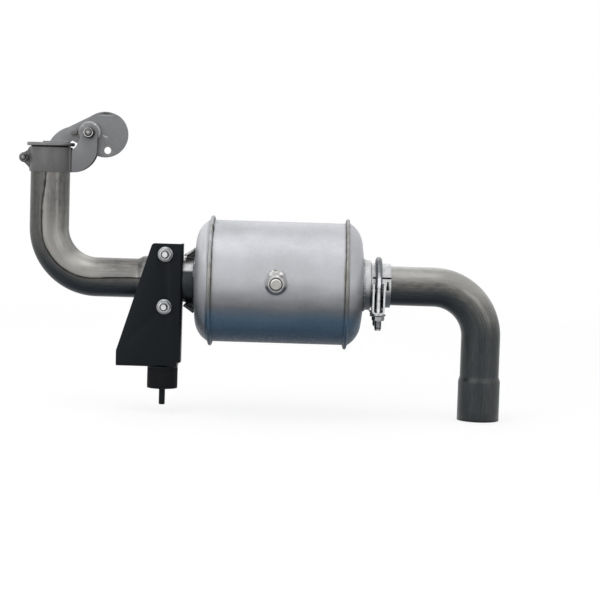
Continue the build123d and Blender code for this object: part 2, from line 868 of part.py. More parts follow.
outlet_bolt_plane = Plane(
    origin=(outlet_clamp_x, 0, axis_height), x_dir=(0, 0, 1), z_dir=(-1, 0, 0)
)
outlet_bolt = u_bolt(outlet_bolt_plane, outlet_half_spread, outlet_leg, outlet_thread_length)
with BuildPart() as bracket_u_bolt:
    add(outlet_bolt)
bracket_u_bolt.part.label = "bracket_u_bolt"
export_step(bracket_u_bolt.part, "parts/bracket_u_bolt.step")

with BuildPart() as bracket_nuts:
    for side in (-1, 1):
        seat = Plane(
            origin=(outlet_clamp_x, face_front, axis_height + side * outlet_half_spread),
            x_dir=(1, 0, 0),
            z_dir=(0, -1, 0),
        )
        with Locations(seat):
            add(u_bolt_nut)
bracket_nuts.part.label = "bracket_nuts"
export_step(bracket_nuts.part, "parts/bracket_nuts.step")

# Isolator: a rubber cylinder between two plates, each with a stud
isolator_top = axis_height + bracket_bottom
isolator_base = isolator_top - isolator_height
top_plane = Plane(origin=(isolator_x, isolator_front, isolator_top))
base_plane = Plane(
    origin=(isolator_x, isolator_front, isolator_base), x_dir=(1, 0, 0), z_dir=(0, 0, -1)
)


def stud_plate(plane, stud_length):
    """A bonded plate under the plane with a stud that stands up from it."""
    with BuildPart() as plate:
        with BuildSketch(plane):
            Circle(isolator_diameter / 2)
        extrude(amount=-isolator_plate)
        with BuildSketch(plane):
            Circle(stud_diameter / 2)
        extrude(amount=stud_length)
        tops = plate.edges().filter_by(GeomType.CIRCLE)
        chamfer(tops.group_by(Axis(plane.origin, plane.z_dir))[-1], stud_end_chamfer)
    return plate.part


with BuildPart() as isolator_top_plate:
    add(stud_plate(top_plane, top_stud_length))
isolator_top_plate.part.label = "isolator_top_plate"
export_step(isolator_top_plate.part, "parts/isolator_top_plate.step")

with BuildPart() as isolator_base_plate:
    add(stud_plate(base_plane, base_stud_length))
isolator_base_plate.part.label = "isolator_base_plate"
export_step(isolator_base_plate.part, "parts/isolator_base_plate.step")

with BuildPart() as isolator_rubber:
    with BuildSketch(top_plane.offset(-isolator_plate)):
        Circle(isolator_diameter / 2)
    extrude(amount=2 * isolator_plate - isolator_height)
    fillet(isolator_rubber.edges(), rubber_edge)
isolator_rubber.part.label = "isolator_rubber"
export_step(isolator_rubber.part, "parts/isolator_rubber.step")

isolator_nut_blank = lock_nut(
    isolator_nut_flats, isolator_nut_height, stud_diameter / 2 + thread_fit
)
with BuildPart() as isolator_nut:
    with Locations(top_plane.offset(bracket_sheet)):
        add(isolator_nut_blank)
isolator_nut.part.label = "isolator_nut"
export_step(isolator_nut.part, "parts/isolator_nut.step")

# Rain cap: two half collars pinched round the pipe whose right ends are the ears of the pivot
cap_plane = Plane(origin=(outlet_x, 0, axis_height), x_dir=(1, 0, 0), z_dir=(0, -1, 0))
pivot_plane = Plane(
    origin=(outlet_x + pivot_offset, 0, axis_height + pivot_rise), x_dir=(1, 0, 0), z_dir=(0, -1, 0)
)
cap_middle_radius = tube_radius + pipe_clearance + cap_sheet / 2
tab_middle = tab_gap / 2 + cap_sheet / 2
ear_middle = ear_gap / 2 + cap_sheet / 2
tab_end = cap_bolt_offset + tab_reach
ear_end = pivot_offset + ear_radius + ear_reach
cap_outer_radius = tube_radius + pipe_clearance + cap_sheet
tab_root = sqrt(cap_middle_radius**2 - tab_middle**2)
ear_root = sqrt(cap_middle_radius**2 - ear_middle**2)

with BuildPart() as cap_clamp_front:
    with BuildSketch(Plane(origin=(outlet_x, 0, axis_height + cap_bottom))):
        with BuildLine() as plan:
            Line((-tab_end, -tab_middle), (-tab_root, -tab_middle))
            ThreePointArc(
                (-tab_root, -tab_middle), (0, -cap_middle_radius), (ear_root, -ear_middle)
            )
            Line((ear_root, -ear_middle), (ear_end, -ear_middle))
            corners = plan.vertices().sort_by(Axis.X)[1:3]
            fillet(corners, cap_crease_radius)
        trace(line_width=cap_sheet)
    extrude(amount=pivot_rise + ear_radius + ear_reach - cap_bottom)
    with BuildSketch(cap_plane):
        with Locations((0, (cap_bottom + cap_top) / 2)):
            Rectangle(2 * cap_outer_radius, cap_top - cap_bottom)
        with BuildLine():
            knee = (-tab_shoulder, cap_bolt_rise - tab_shoulder_drop)
            crest = (-tab_shoulder, cap_bolt_rise + tab_shoulder_rise)
            Line((-cap_outer_radius, cap_top), crest)
            Line(crest, (-cap_bolt_offset, cap_bolt_rise + tab_reach))
            ThreePointArc(
                (-cap_bolt_offset, cap_bolt_rise + tab_reach),
                (-cap_bolt_offset - tab_reach, cap_bolt_rise),
                (-cap_bolt_offset, cap_bolt_rise - tab_reach),
            )
            Line((-cap_bolt_offset, cap_bolt_rise - tab_reach), knee)
            RadiusArc(knee, (-cap_outer_radius, cap_bottom), tab_hollow_radius)
            Line((-cap_outer_radius, cap_bottom), (0, cap_bottom))
            Line((0, cap_bottom), (0, cap_top))
            Line((0, cap_top), (-cap_outer_radius, cap_top))
        make_face()
        with BuildLine():
            root = pivot_offset - ear_foot
            low = (pivot_offset - ear_toe, cap_bottom)
            heel = (pivot_offset + ear_heel, pivot_rise - ear_heel_drop)
            side = (pivot_offset + ear_centre + ear_radius, pivot_rise + ear_centre_rise)
            front = (pivot_offset + ear_centre - ear_radius, pivot_rise + ear_centre_rise)
            neck = (pivot_offset + ear_centre - ear_radius, pivot_rise - ear_neck_drop)
            waist = (pivot_offset - ear_waist, pivot_rise - ear_waist_drop)
            Line((0, cap_bottom), low)
            ThreePointArc(
                low, (pivot_offset + ear_belly, pivot_rise - ear_belly_drop), heel
            )
            Line(heel, side)
            ThreePointArc(
                side,
                (pivot_offset + ear_centre, pivot_rise + ear_centre_rise + ear_radius),
                front,
            )
            Line(front, neck)
            Line(neck, waist)
            Line(waist, (root, pivot_rise - ear_throat_drop))
            Line((root, pivot_rise - ear_throat_drop), (0, pivot_rise - ear_throat_drop))
            Line((0, pivot_rise - ear_throat_drop), (0, cap_bottom))
        make_face()
    extrude(amount=2 * cap_outer_radius, both=True, mode=Mode.INTERSECT)
    with BuildSketch(cap_plane):
        with Locations((-cap_bolt_offset, cap_bolt_rise)):
            Circle(cap_bolt_diameter / 2 + bolt_clearance)
        with Locations((pivot_offset, pivot_rise)):
            Circle(pivot_diameter / 2 + bolt_clearance)
    extrude(amount=2 * cap_outer_radius, both=True, mode=Mode.SUBTRACT)
cap_clamp_front.part.label = "cap_clamp_front"
export_step(cap_clamp_front.part, "parts/cap_clamp_front.step")

with BuildPart() as cap_clamp_rear:
    add(cap_clamp_front.part.mirror(Plane.XZ))
cap_clamp_rear.part.label = "cap_clamp_rear"
export_step(cap_clamp_rear.part, "parts/cap_clamp_rear.step")


# Bolts of the rain cap: the head is behind, the self-locking nut faces the viewer
def through_bolt(plane, diameter, head_flats, head_height, grip, length):
    """A hexagon bolt across the plane, its head seated behind it at the grip's distance."""
    head_seat = Plane(origin=plane.offset(-grip).origin, x_dir=plane.x_dir, z_dir=-plane.z_dir)
    blank = hex_head(head_flats, head_height)
    with BuildPart() as bolt:
        with Locations(head_seat):
            add(blank)
        with BuildSketch(head_seat):
            Circle(diameter / 2)
        extrude(amount=-length)
        ends = bolt.edges().filter_by(GeomType.CIRCLE)
        chamfer(ends.group_by(Axis(plane.origin, plane.z_dir))[-1], stud_end_chamfer)
    return bolt.part


cap_bolt_plane = Plane(
    origin=(outlet_x - cap_bolt_offset, 0, axis_height + cap_bolt_rise),
    x_dir=(1, 0, 0),
    z_dir=(0, -1, 0),
)
tab_face = tab_gap / 2 + cap_sheet
with BuildPart() as cap_clamp_bolt:
    add(through_bolt(
        cap_bolt_plane, cap_bolt_diameter, cap_bolt_head_flats, cap_bolt_head_height,
        tab_face, 2 * tab_face + cap_nut_height + bolt_end_reach,
    ))
cap_clamp_bolt.part.label = "cap_clamp_bolt"
export_step(cap_clamp_bolt.part, "parts/cap_clamp_bolt.step")

cap_nut_blank = lock_nut(cap_bolt_head_flats, cap_nut_height, cap_bolt_diameter / 2 + thread_fit)
with BuildPart() as cap_clamp_nut:
    with Locations(cap_bolt_plane.offset(tab_face)):
        add(cap_nut_blank)
cap_clamp_nut.part.label = "cap_clamp_nut"
export_step(cap_clamp_nut.part, "parts/cap_clamp_nut.step")

ear_face = ear_gap / 2 + cap_sheet
washer_face = ear_face + pivot_washer_height
with BuildPart() as pivot_bolt:
    add(through_bolt(
        pivot_plane, pivot_diameter, pivot_nut_flats, pivot_head_height,
        washer_face, 2 * washer_face + pivot_nut_height + bolt_end_reach,
    ))
pivot_bolt.part.label = "pivot_bolt"
export_step(pivot_bolt.part, "parts/pivot_bolt.step")

pivot_nut_blank = lock_nut(pivot_nut_flats, pivot_nut_height, pivot_diameter / 2 + thread_fit)
with BuildPart() as pivot_nut:
    with Locations(pivot_plane.offset(washer_face)):
        add(pivot_nut_blank)
pivot_nut.part.label = "pivot_nut"
export_step(pivot_nut.part, "parts/pivot_nut.step")


def pivot_rings(start, thickness, diameter, edge=0):
    """A pair of rings on the pivot bolt, one each side of the middle plane."""
    with BuildPart() as pair:
        for side in (-1, 1):
            with BuildSketch(pivot_plane.offset(side * start)):
                Circle(diameter / 2)
                Circle(pivot_diameter / 2 + bolt_clearance, mode=Mode.SUBTRACT)
            extrude(amount=side * thickness)
        if edge:
            fillet(pair.edges().filter_by(GeomType.CIRCLE).group_by(SortBy.RADIUS)[-1], edge)
    return pair.part


with BuildPart() as pivot_washers:
    add(pivot_rings(ear_face, pivot_washer_height, pivot_washer_diameter))
pivot_washers.part.label = "pivot_washers"
export_step(pivot_washers.part, "parts/pivot_washers.step")

spacer_start = arm_sheet / 2 + pivot_side_play
with BuildPart() as pivot_spacers:
    add(pivot_rings(
        spacer_start, ear_gap / 2 - spacer_start, pivot_spacer_diameter, pivot_spacer_edge
    ))
pivot_spacers.part.label = "pivot_spacers"
export_step(pivot_spacers.part, "parts/pivot_spacers.step")

# Lid: a disc that rests just above the mouth of the pipe
lid_bottom = axis_height + outlet_rise + lid_seat_gap
lid_top = lid_bottom + lid_sheet
with BuildPart() as lid:
    with BuildSketch(Plane(origin=(outlet_x, 0, lid_bottom))):
        Circle(lid_diameter / 2)
    extrude(amount=lid_sheet)
    fillet(lid.edges(), lid_edge)
lid.part.label = "lid"
export_step(lid.part, "parts/lid.step")

# Arm: a plate with a foot on the lid and a round counterweight with a folded segment
lid_top_drop = pivot_plane.origin.Z - lid_top
with BuildPart() as flapper_arm:
    with BuildSketch(pivot_plane):
        with Locations((weight_reach, weight_drop)):
            Circle(weight_radius)
        with BuildLine():
            heel = (-arm_heel_reach, -lid_top_drop)
            toe = (-arm_toe_reach, -lid_top_drop)
            Line(heel, (-arm_heel_reach + arm_heel_run, arm_heel_run - lid_top_drop))
            Line(
                (-arm_heel_reach + arm_heel_run, arm_heel_run - lid_top_drop),
                (arm_low_reach, -arm_low_drop),
            )
            Line((arm_low_reach, -arm_low_drop), (weight_reach, weight_drop))
            Line((weight_reach, weight_drop), (arm_high_reach, arm_high_rise))
            Line((arm_high_reach, arm_high_rise), (-arm_back_reach, arm_back_rise))
            RadiusArc((-arm_back_reach, arm_back_rise), toe, -arm_back_radius)
            Line(toe, heel)
        make_face()
        with Locations((weight_reach, weight_fold_height + weight_radius / 2)):
            Rectangle(2 * weight_radius, weight_radius, mode=Mode.SUBTRACT)
    extrude(amount=arm_sheet / 2, both=True)
    with BuildSketch(pivot_plane.offset(arm_sheet / 2)):
        with Locations((-arm_button_reach, arm_button_rise)):
            Circle(arm_button_radius)
    extrude(amount=arm_button_height)
    button_rims = flapper_arm.edges().filter_by(GeomType.CIRCLE).group_by(Axis.Y)[0]
    fillet(button_rims, arm_button_edge)
    with BuildSketch(pivot_plane.offset(-arm_sheet / 2)):
        with Locations((-arm_button_reach, arm_button_rise)):
            Circle(arm_button_radius - arm_button_edge)
    extrude(amount=arm_button_height, mode=Mode.SUBTRACT)
    fold_plane = Plane(
        origin=pivot_plane.from_local_coords((weight_reach, weight_fold_height, -arm_sheet / 2)),
        x_dir=(1, 0, 0),
        z_dir=Vector(0, -cos(radians(weight_fold_angle)), -sin(radians(weight_fold_angle))),
    )
    with BuildSketch(fold_plane):
        with Locations((0, weight_drop - weight_fold_height)):
            Circle(weight_radius)
        with Locations((0, -weight_radius)):
            Rectangle(4 * weight_radius, 2 * weight_radius, mode=Mode.SUBTRACT)
    extrude(amount=arm_sheet)
    with BuildSketch(Plane(origin=(pivot_plane.origin.X, 0, lid_top))):
        with Locations(
            ((-arm_foot_reach - arm_heel_reach) / 2, arm_sheet / 2 - arm_foot_width / 2)
        ):
            Rectangle(arm_foot_reach - arm_heel_reach, arm_foot_width)
    extrude(amount=arm_foot_height)
    with BuildSketch(pivot_plane):
        Circle(pivot_diameter / 2 + pivot_fit)
        with Locations((weight_hole_reach, weight_hole_drop)):
            Circle(weight_hole_diameter / 2)
    extrude(amount=arm_foot_width, both=True, mode=Mode.SUBTRACT)
flapper_arm.part.label = "flapper_arm"
export_step(flapper_arm.part, "parts/flapper_arm.step")
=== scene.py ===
# %% [markdown]
# # A spark arrestor muffler, dressed in Blender
#
# This is the exhaust of a small stationary engine: an inlet elbow, a rolled drum with two pressed
# heads, an outlet elbow and a rain cap that tips open. The solids come from a CAD model, and this
# lesson gives them smooth skins, threads, welds and worn metal finishes. We work in metres, in the
# CAD model's own frame, so that every piece lands where its solid is.

# %% Load the frame
import json
from math import atan2, cos, pi, radians, sin, tau

import bmesh
import bpy
from mathutils import Matrix, Vector, noise

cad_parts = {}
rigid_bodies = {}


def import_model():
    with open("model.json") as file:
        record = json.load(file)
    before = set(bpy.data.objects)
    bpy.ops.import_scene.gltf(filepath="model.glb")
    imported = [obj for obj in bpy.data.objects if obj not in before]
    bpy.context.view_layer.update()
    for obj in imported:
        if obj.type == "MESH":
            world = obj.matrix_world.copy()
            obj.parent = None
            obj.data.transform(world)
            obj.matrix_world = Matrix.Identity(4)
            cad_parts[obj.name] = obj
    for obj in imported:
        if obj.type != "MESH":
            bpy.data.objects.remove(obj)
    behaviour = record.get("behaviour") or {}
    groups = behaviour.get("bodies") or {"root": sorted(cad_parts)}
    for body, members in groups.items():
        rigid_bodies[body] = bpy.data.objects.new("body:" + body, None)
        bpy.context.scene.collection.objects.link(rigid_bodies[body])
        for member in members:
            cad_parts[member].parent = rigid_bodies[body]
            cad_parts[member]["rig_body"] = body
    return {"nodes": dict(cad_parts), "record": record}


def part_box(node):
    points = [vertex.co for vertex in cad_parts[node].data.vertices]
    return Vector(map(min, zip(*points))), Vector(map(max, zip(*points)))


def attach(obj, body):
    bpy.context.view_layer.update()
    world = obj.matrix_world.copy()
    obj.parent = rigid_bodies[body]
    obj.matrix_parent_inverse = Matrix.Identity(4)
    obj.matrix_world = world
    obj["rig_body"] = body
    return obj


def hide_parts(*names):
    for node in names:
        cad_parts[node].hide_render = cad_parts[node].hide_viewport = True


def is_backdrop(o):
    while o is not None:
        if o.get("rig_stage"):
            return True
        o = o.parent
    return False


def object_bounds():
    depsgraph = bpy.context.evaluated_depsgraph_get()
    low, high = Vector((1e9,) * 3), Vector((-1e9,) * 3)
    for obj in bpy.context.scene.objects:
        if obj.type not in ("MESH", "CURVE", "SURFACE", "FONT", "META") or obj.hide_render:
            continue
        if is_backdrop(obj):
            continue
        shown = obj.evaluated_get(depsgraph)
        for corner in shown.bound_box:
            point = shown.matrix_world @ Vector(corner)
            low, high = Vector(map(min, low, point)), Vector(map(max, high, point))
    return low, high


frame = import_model()
cad_low, cad_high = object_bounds()
mm = 0.001
slot_of = {part["node"]: part["material_slot"] for part in frame["record"]["subparts"]}
print("solids in the frame:", len(frame["nodes"]))

# %% [markdown]
# Every place in the scene is taken from the frame, so the skins follow the solids. The muffler's
# axis runs along X through the middle of its shell, the outlet stack stands under the middle of
# the lid, and the inlet drops down at the origin.

# %% Main places
shell_low, shell_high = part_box("shell")
lid_low, lid_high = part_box("lid")
lid_seat_gap = 0.2 * mm
muffler = (shell_low + shell_high) / 2
stack_x = (lid_low.x + lid_high.x) / 2
stack_top = lid_low.z - lid_seat_gap
pivot = Vector(frame["record"]["behaviour"]["joints"][0]["pos_m"])
X, Y, Z = Vector((1, 0, 0)), Vector((0, 1, 0)), Vector((0, 0, 1))
print("muffler axis at", tuple(round(v, 4) for v in muffler), "stack at", round(stack_x, 4))

# %% [markdown]
# ## Camera, floor and light
#
# The camera takes the photo's own angle: in front, a little above the muffler, far back with a
# long lens so that the tubes hardly converge. It is pitched down slightly, and rolled by less than
# two degrees because the picture is a little out of level.

# %% Camera
camera_place = Vector((-0.2368, -2.400, 0.3253))
camera_pitch = 4.18
camera_roll = 1.754
camera_lens = 110.9

camera_data = bpy.data.cameras.new("photo_camera")
camera_data.lens = camera_lens
camera = bpy.data.objects.new("photo_camera", camera_data)
bpy.context.scene.collection.objects.link(camera)
tilt = Matrix.Rotation(radians(90 - camera_pitch), 4, "X")
roll = Matrix.Rotation(radians(camera_roll), 4, "Z")
camera.matrix_world = Matrix.Translation(camera_place) @ tilt @ roll
bpy.context.scene.camera = camera
bpy.context.scene.view_settings.view_transform = "Standard"
print("camera lens", camera_data.lens)

# %% [markdown]
# The backdrop is white and the floor keeps a soft shadow. Light Path tells a shader which kind of
# ray asks: the camera and shiny metal see white, and only the plain diffuse rays that light the
# object get a dimmer sky. That way the background is white without any extra light on the part.

# %% Sky
def seen_directly(tree):
    """A number that is 1 for camera, glossy and transmission rays and 0 for lighting rays."""
    path = tree.nodes.new("ShaderNodeLightPath")
    shiny = tree.nodes.new("ShaderNodeMath")
    shiny.operation = "MAXIMUM"
    tree.links.new(path.outputs["Is Glossy Ray"], shiny.inputs[0])
    tree.links.new(path.outputs["Is Transmission Ray"], shiny.inputs[1])
    either = tree.nodes.new("ShaderNodeMath")
    either.operation = "MAXIMUM"
    tree.links.new(path.outputs["Is Camera Ray"], either.inputs[0])
    tree.links.new(shiny.outputs[0], either.inputs[1])
    return either.outputs[0]


def add_shader(tree, kind, gray, strength=None):
    """A plain gray or white shader, which glows if it has a strength."""
    made = tree.nodes.new(kind)
    made.inputs["Color"].default_value = (gray, gray, gray, 1)
    if strength is not None:
        made.inputs["Strength"].default_value = strength
    return made.outputs[0]


def mix_shaders(tree, amount, first, second):
    """The first shader where the amount is 0, the second where it is 1."""
    mixed = tree.nodes.new("ShaderNodeMixShader")
    for socket, source in zip(mixed.inputs, (amount, first, second)):
        tree.links.new(source, socket)
    return mixed.outputs[0]


sky_light = 0.42
world = bpy.data.worlds.new("studio")
world.use_nodes = True
bpy.context.scene.world = world
sky = world.node_tree
sky.nodes.clear()
dim = add_shader(sky, "ShaderNodeBackground", 1, sky_light)
white = add_shader(sky, "ShaderNodeBackground", 1, 1.0)
sky_out = sky.nodes.new("ShaderNodeOutputWorld")
sky.links.new(mix_shaders(sky, seen_directly(sky), dim, white), sky_out.inputs[0])
print("sky lights the object at", sky_light)

# %% [markdown]
# The floor is a gray sheet that also glows a little, so that it looks pale to the camera and still
# takes a shadow. Away from the muffler it fades into the white of the backdrop, so no edge shows.
# The diffuse rays that light the object see only the gray sheet.

# %% Floor
floor_size = 30.0
floor_gap = 0.5 * mm
floor_glow = 0.79
floor_gray = 0.32
fade_start = 0.7
fade_end = 2.2
floor_bm = bmesh.new()
bmesh.ops.create_grid(floor_bm, x_segments=1, y_segments=1, size=floor_size / 2)
floor_mesh = bpy.data.meshes.new("floor")
floor_bm.to_mesh(floor_mesh)
floor_bm.free()
floor = bpy.data.objects.new("floor", floor_mesh)
bpy.context.scene.collection.objects.link(floor)
floor.location.z = cad_low.z - floor_gap

floor_finish = bpy.data.materials.new("pale_floor")
floor_finish.use_nodes = True
tree = floor_finish.node_tree
tree.nodes.clear()
matt = add_shader(tree, "ShaderNodeBsdfDiffuse", floor_gray)
near = tree.nodes.new("ShaderNodeAddShader")
tree.links.new(matt, near.inputs[0])
tree.links.new(add_shader(tree, "ShaderNodeEmission", 1, floor_glow), near.inputs[1])
floor_place = tree.nodes.new("ShaderNodeTexCoord")
to_muffler = tree.nodes.new("ShaderNodeVectorMath")
to_muffler.operation = "DISTANCE"
to_muffler.inputs[1].default_value = (muffler.x, 0, 0)
tree.links.new(floor_place.outputs["Object"], to_muffler.inputs[0])
fade = tree.nodes.new("ShaderNodeMapRange")
fade.interpolation_type = "SMOOTHSTEP"
fade.inputs["From Min"].default_value = fade_start
fade.inputs["From Max"].default_value = fade_end
tree.links.new(to_muffler.outputs["Value"], fade.inputs["Value"])
far = add_shader(tree, "ShaderNodeEmission", 1, 1.0)
faded = mix_shaders(tree, fade.outputs["Result"], near.outputs[0], far)
floor_out = tree.nodes.new("ShaderNodeOutputMaterial")
tree.links.new(mix_shaders(tree, seen_directly(tree), matt, faded), floor_out.inputs[0])
floor_mesh.materials.append(floor_finish)
floor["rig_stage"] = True
print("floor at", round(floor.location.z, 4))

# %% [markdown]
# Four soft boxes light the metal. A large one hangs high on the left and draws the broad highlight
# along the drum, two fill from the left and the right, and a small one behind lifts the upper
# edges. They are kept weak, because a shiny drum also shows the white room and would soon clip to
# white.

# %% Lamps
def soft_box(name, place, size, power):
    """A square area lamp that faces the muffler."""
    data = bpy.data.lights.new(name, "AREA")
    data.size = size
    data.energy = power
    lamp = bpy.data.objects.new(name, data)
    lamp.location = place
    aim = muffler - Vector(place)
    lamp.rotation_mode = "QUATERNION"
    lamp.rotation_quaternion = aim.to_track_quat("-Z", "Y")
    bpy.context.scene.collection.objects.link(lamp)


soft_box("top_light", (-0.75, -0.45, 2.1), 1.8, 10)
soft_box("left_light", (-1.8, -2.0, 1.0), 1.8, 13)
soft_box("right_light", (1.4, -2.0, 0.8), 1.6, 7)
soft_box("back_light", (-0.3, 1.5, 1.4), 1.2, 2.5)
print("lamps:", len(bpy.data.lights))

# %% [markdown]
# ## Finishes
#
# The metals are aluminised sheet, bare steel, raw tube and zinc plate, and the rest is paint and
# rubber. All are built from the same few nodes: noise on the object's own coordinates tints the
# piece, changes how rough it is and raises a faint bump. Stains, painted shade and painted
# highlights are then laid over it where masks allow: a band of height or distance, a spot, or the
# way that the surface faces.

# %% Helpers for the finishes
raggedness = 0.12


class Finish:
    """A Principled material whose nodes are added one by one."""

    def __init__(self, name, colour, metallic, roughness):
        self.material = bpy.data.materials.new(name)
        self.material.use_nodes = True
        self.tree = self.material.node_tree
        self.shader = self.tree.nodes["Principled BSDF"]
        self.shader.inputs["Base Color"].default_value = (*colour, 1)
        self.shader.inputs["Metallic"].default_value = metallic
        self.shader.inputs["Roughness"].default_value = roughness
        self.colour = colour

    def node(self, kind, **settings):
        made = self.tree.nodes.new(kind)
        for key, value in settings.items():
            setattr(made, key, value)
        return made

    def join(self, source, target):
        self.tree.links.new(source, target)

    def places(self, stretch=(1, 1, 1), attribute=None):
        """Object coordinates, or a vector kept in the mesh, scaled along each axis."""
        if attribute:
            source = self.node("ShaderNodeAttribute", attribute_name=attribute).outputs["Vector"]
        else:
            source = self.node("ShaderNodeTexCoord").outputs["Object"]
        mapping = self.node("ShaderNodeMapping")
        mapping.inputs["Scale"].default_value = stretch
        self.join(source, mapping.inputs["Vector"])
        return mapping.outputs["Vector"]

    def noise(self, size, places, detail=3.0, low=0.35, high=0.65):
        """Noise whose blotches are about size metres across, stretched to 0..1."""
        texture = self.node("ShaderNodeTexNoise")
        texture.inputs["Scale"].default_value = 1 / size
        texture.inputs["Detail"].default_value = detail
        self.join(places, texture.inputs["Vector"])
        spread = self.node("ShaderNodeMapRange")
        spread.inputs["From Min"].default_value = low
        spread.inputs["From Max"].default_value = high
        self.join(texture.outputs["Fac"], spread.inputs["Value"])
        return spread.outputs["Result"]

    def sum(self, operation, first, second):
        """One arithmetic step on two values, either of which may be a plain number."""
        math = self.node("ShaderNodeMath", operation=operation)
        for socket, value in zip(math.inputs, (first, second)):
            if isinstance(value, (int, float)):
                socket.default_value = value
            else:
                self.join(value, socket)
        return math.outputs[0]

    def tint(self, amount, colour):
        """Mixes another colour over what the base colour is so far."""
        mix = self.node("ShaderNodeMix", data_type="RGBA")
        target = self.shader.inputs["Base Color"]
        if target.is_linked:
            self.join(target.links[0].from_socket, mix.inputs["A"])
        else:
            mix.inputs["A"].default_value = (*self.colour, 1)
        mix.inputs["B"].default_value = (*colour, 1)
        self.join(amount, mix.inputs["Factor"])
        self.join(mix.outputs["Result"], target)

    def gloss(self, amount, smooth, rough):
        """Lets the roughness run between two values."""
        spread = self.node("ShaderNodeMapRange")
        spread.inputs["To Min"].default_value = smooth
        spread.inputs["To Max"].default_value = rough
        self.join(amount, spread.inputs["Value"])
        self.join(spread.outputs["Result"], self.shader.inputs["Roughness"])

    def grain(self, height, strength, distance):
        """A faint bump in the surface."""
        bump = self.node("ShaderNodeBump")
        bump.inputs["Strength"].default_value = strength
        bump.inputs["Distance"].default_value = distance
        self.join(height, bump.inputs["Height"])
        self.join(bump.outputs["Normal"], self.shader.inputs["Normal"])

    def band(self, value, start, end):
        """0 below start, 1 above end, smooth between them; start may be above end."""
        spread = self.node("ShaderNodeMapRange", interpolation_type="SMOOTHSTEP")
        spread.inputs["From Min"].default_value = start
        spread.inputs["From Max"].default_value = end
        self.join(value, spread.inputs["Value"])
        return spread.outputs["Result"]

    def between(self, value, *limits):
        """1 in the middle of four rising limits in millimetres and 0 outside them."""
        outer_low, inner_low, inner_high, outer_high = (limit * mm for limit in limits)
        rising = self.band(value, outer_low, inner_low)
        return self.sum("MULTIPLY", rising, self.band(value, outer_high, inner_high))

    def axes(self, places):
        """The three separate coordinates of a place."""
        split = self.node("ShaderNodeSeparateXYZ")
        self.join(places, split.inputs[0])
        return split.outputs

    def coordinate(self, axis):
        """One of the object's own coordinates."""
        return self.axes(self.places())[axis]

    def low_down(self, top, bottom):
        """0 above one height from the muffler's axis, 1 below the other, a little ragged."""
        patches = self.noise(0.02, self.places((0.3, 1, 1)))
        above_axis = self.sum("SUBTRACT", self.coordinate("Z"), muffler.z)
        wander = self.sum("MULTIPLY", patches, raggedness * (top - bottom))
        return self.band(self.sum("ADD", above_axis, wander), top, bottom)

    def facing(self):
        """Which way the surface faces, as kept in the mesh by place()."""
        return self.axes(self.places(attribute="facing"))

    def spot(self, centre, reach, rim=0.4):
        """1 within an ellipsoid about a point of the object, 0 outside it."""
        away = self.node("ShaderNodeVectorMath", operation="SUBTRACT")
        away.inputs[1].default_value = centre
        self.join(self.places(), away.inputs[0])
        share = self.node("ShaderNodeVectorMath", operation="DIVIDE")
        share.inputs[1].default_value = reach
        self.join(away.outputs["Vector"], share.inputs[0])
        length = self.node("ShaderNodeVectorMath", operation="LENGTH")
        self.join(share.outputs["Vector"], length.inputs[0])
        return self.band(length.outputs["Value"], 1 + rim / 2, 1 - rim / 2)

    def speck(self, origin, offset, reach, rim):
        """A spot at an offset from a point, with offset and reach in millimetres."""
        return self.spot(origin + Vector(offset) * mm, Vector(reach) * mm, rim)

    def stain(self, colour, amount, *masks):
        """Mixes a colour over the base by an amount, only where all the masks are set."""
        for mask in masks:
            amount = self.sum("MULTIPLY", mask, amount)
        self.tint(amount, colour)


print("finish helper ready")

# %% [markdown]
# The drum is aluminised sheet: a satin, cool gray that is nearly white where it faces the light.
# Its lower part gets painted shade and a cold blue painted reflection: the real sheet mirrors what
# it stands over there, and nothing stands there in this scene. Both belong to the sheet, so they
# show from every side. Along the two rolled seams the metal has gone gray and olive; the right seam
# and the lower part of both seams get painted shade, as do the crack where each hem ends and a gap
# where one hem lifts. The upper roll of the left head gets a painted highlight and its lower part
# painted shade. All of these are masks on the object's own coordinates: the distance from the
# muffler's middle, and the height from its axis.

# %% Aluminised sheet
seam_offset = 87.4 * mm
sheet_metal = Finish("aluminised_sheet", (0.54, 0.55, 0.58), 0.72, 0.46)
around = sheet_metal.places()
clouds = sheet_metal.noise(0.05, around)
fine = sheet_metal.noise(0.004, around)
patchy = sheet_metal.noise(0.011, around, low=0.45, high=0.55)
sheet_metal.tint(clouds, (0.47, 0.475, 0.50))
along = sheet_metal.axes(around)["X"]
from_middle = sheet_metal.sum("ABSOLUTE", sheet_metal.sum("SUBTRACT", along, muffler.x), 0)
ragged = sheet_metal.sum("ADD", from_middle, sheet_metal.sum("MULTIPLY", clouds, 0.8 * mm))
on_seam = sheet_metal.between(ragged, 82.5, 85.0, 88.8, 91.0)
on_right = sheet_metal.band(along, muffler.x, muffler.x + 10 * mm)
sheet_metal.stain((0.30, 0.30, 0.285), 0.3, on_seam)
# Painted shade on the right seam, and on the lower part of both seams.
sheet_metal.stain((0.20, 0.20, 0.18), 0.45, on_seam, on_right)
sheet_metal.stain((0.22, 0.21, 0.165), 0.5, on_seam, sheet_metal.low_down(42 * mm, 22 * mm))
sheet_metal.stain((0.16, 0.155, 0.12), 0.3, on_seam, patchy)
# Painted shade in the crack where each hem ends, and in the gap where one hem lifts.
hem_crack_shade = sheet_metal.between(from_middle, 84.2, 84.6, 85.2, 85.6)
sheet_metal.stain((0.05, 0.05, 0.045), 0.55, hem_crack_shade)
sheet_metal.stain((0.03, 0.03, 0.03), 0.7, hem_crack_shade, patchy)
lifted_hem_shade = sheet_metal.speck(muffler, (-85, -42, 69), (1.5, 9, 6.5), 0.4)
sheet_metal.stain((0.02, 0.02, 0.02), 0.9, lifted_hem_shade)
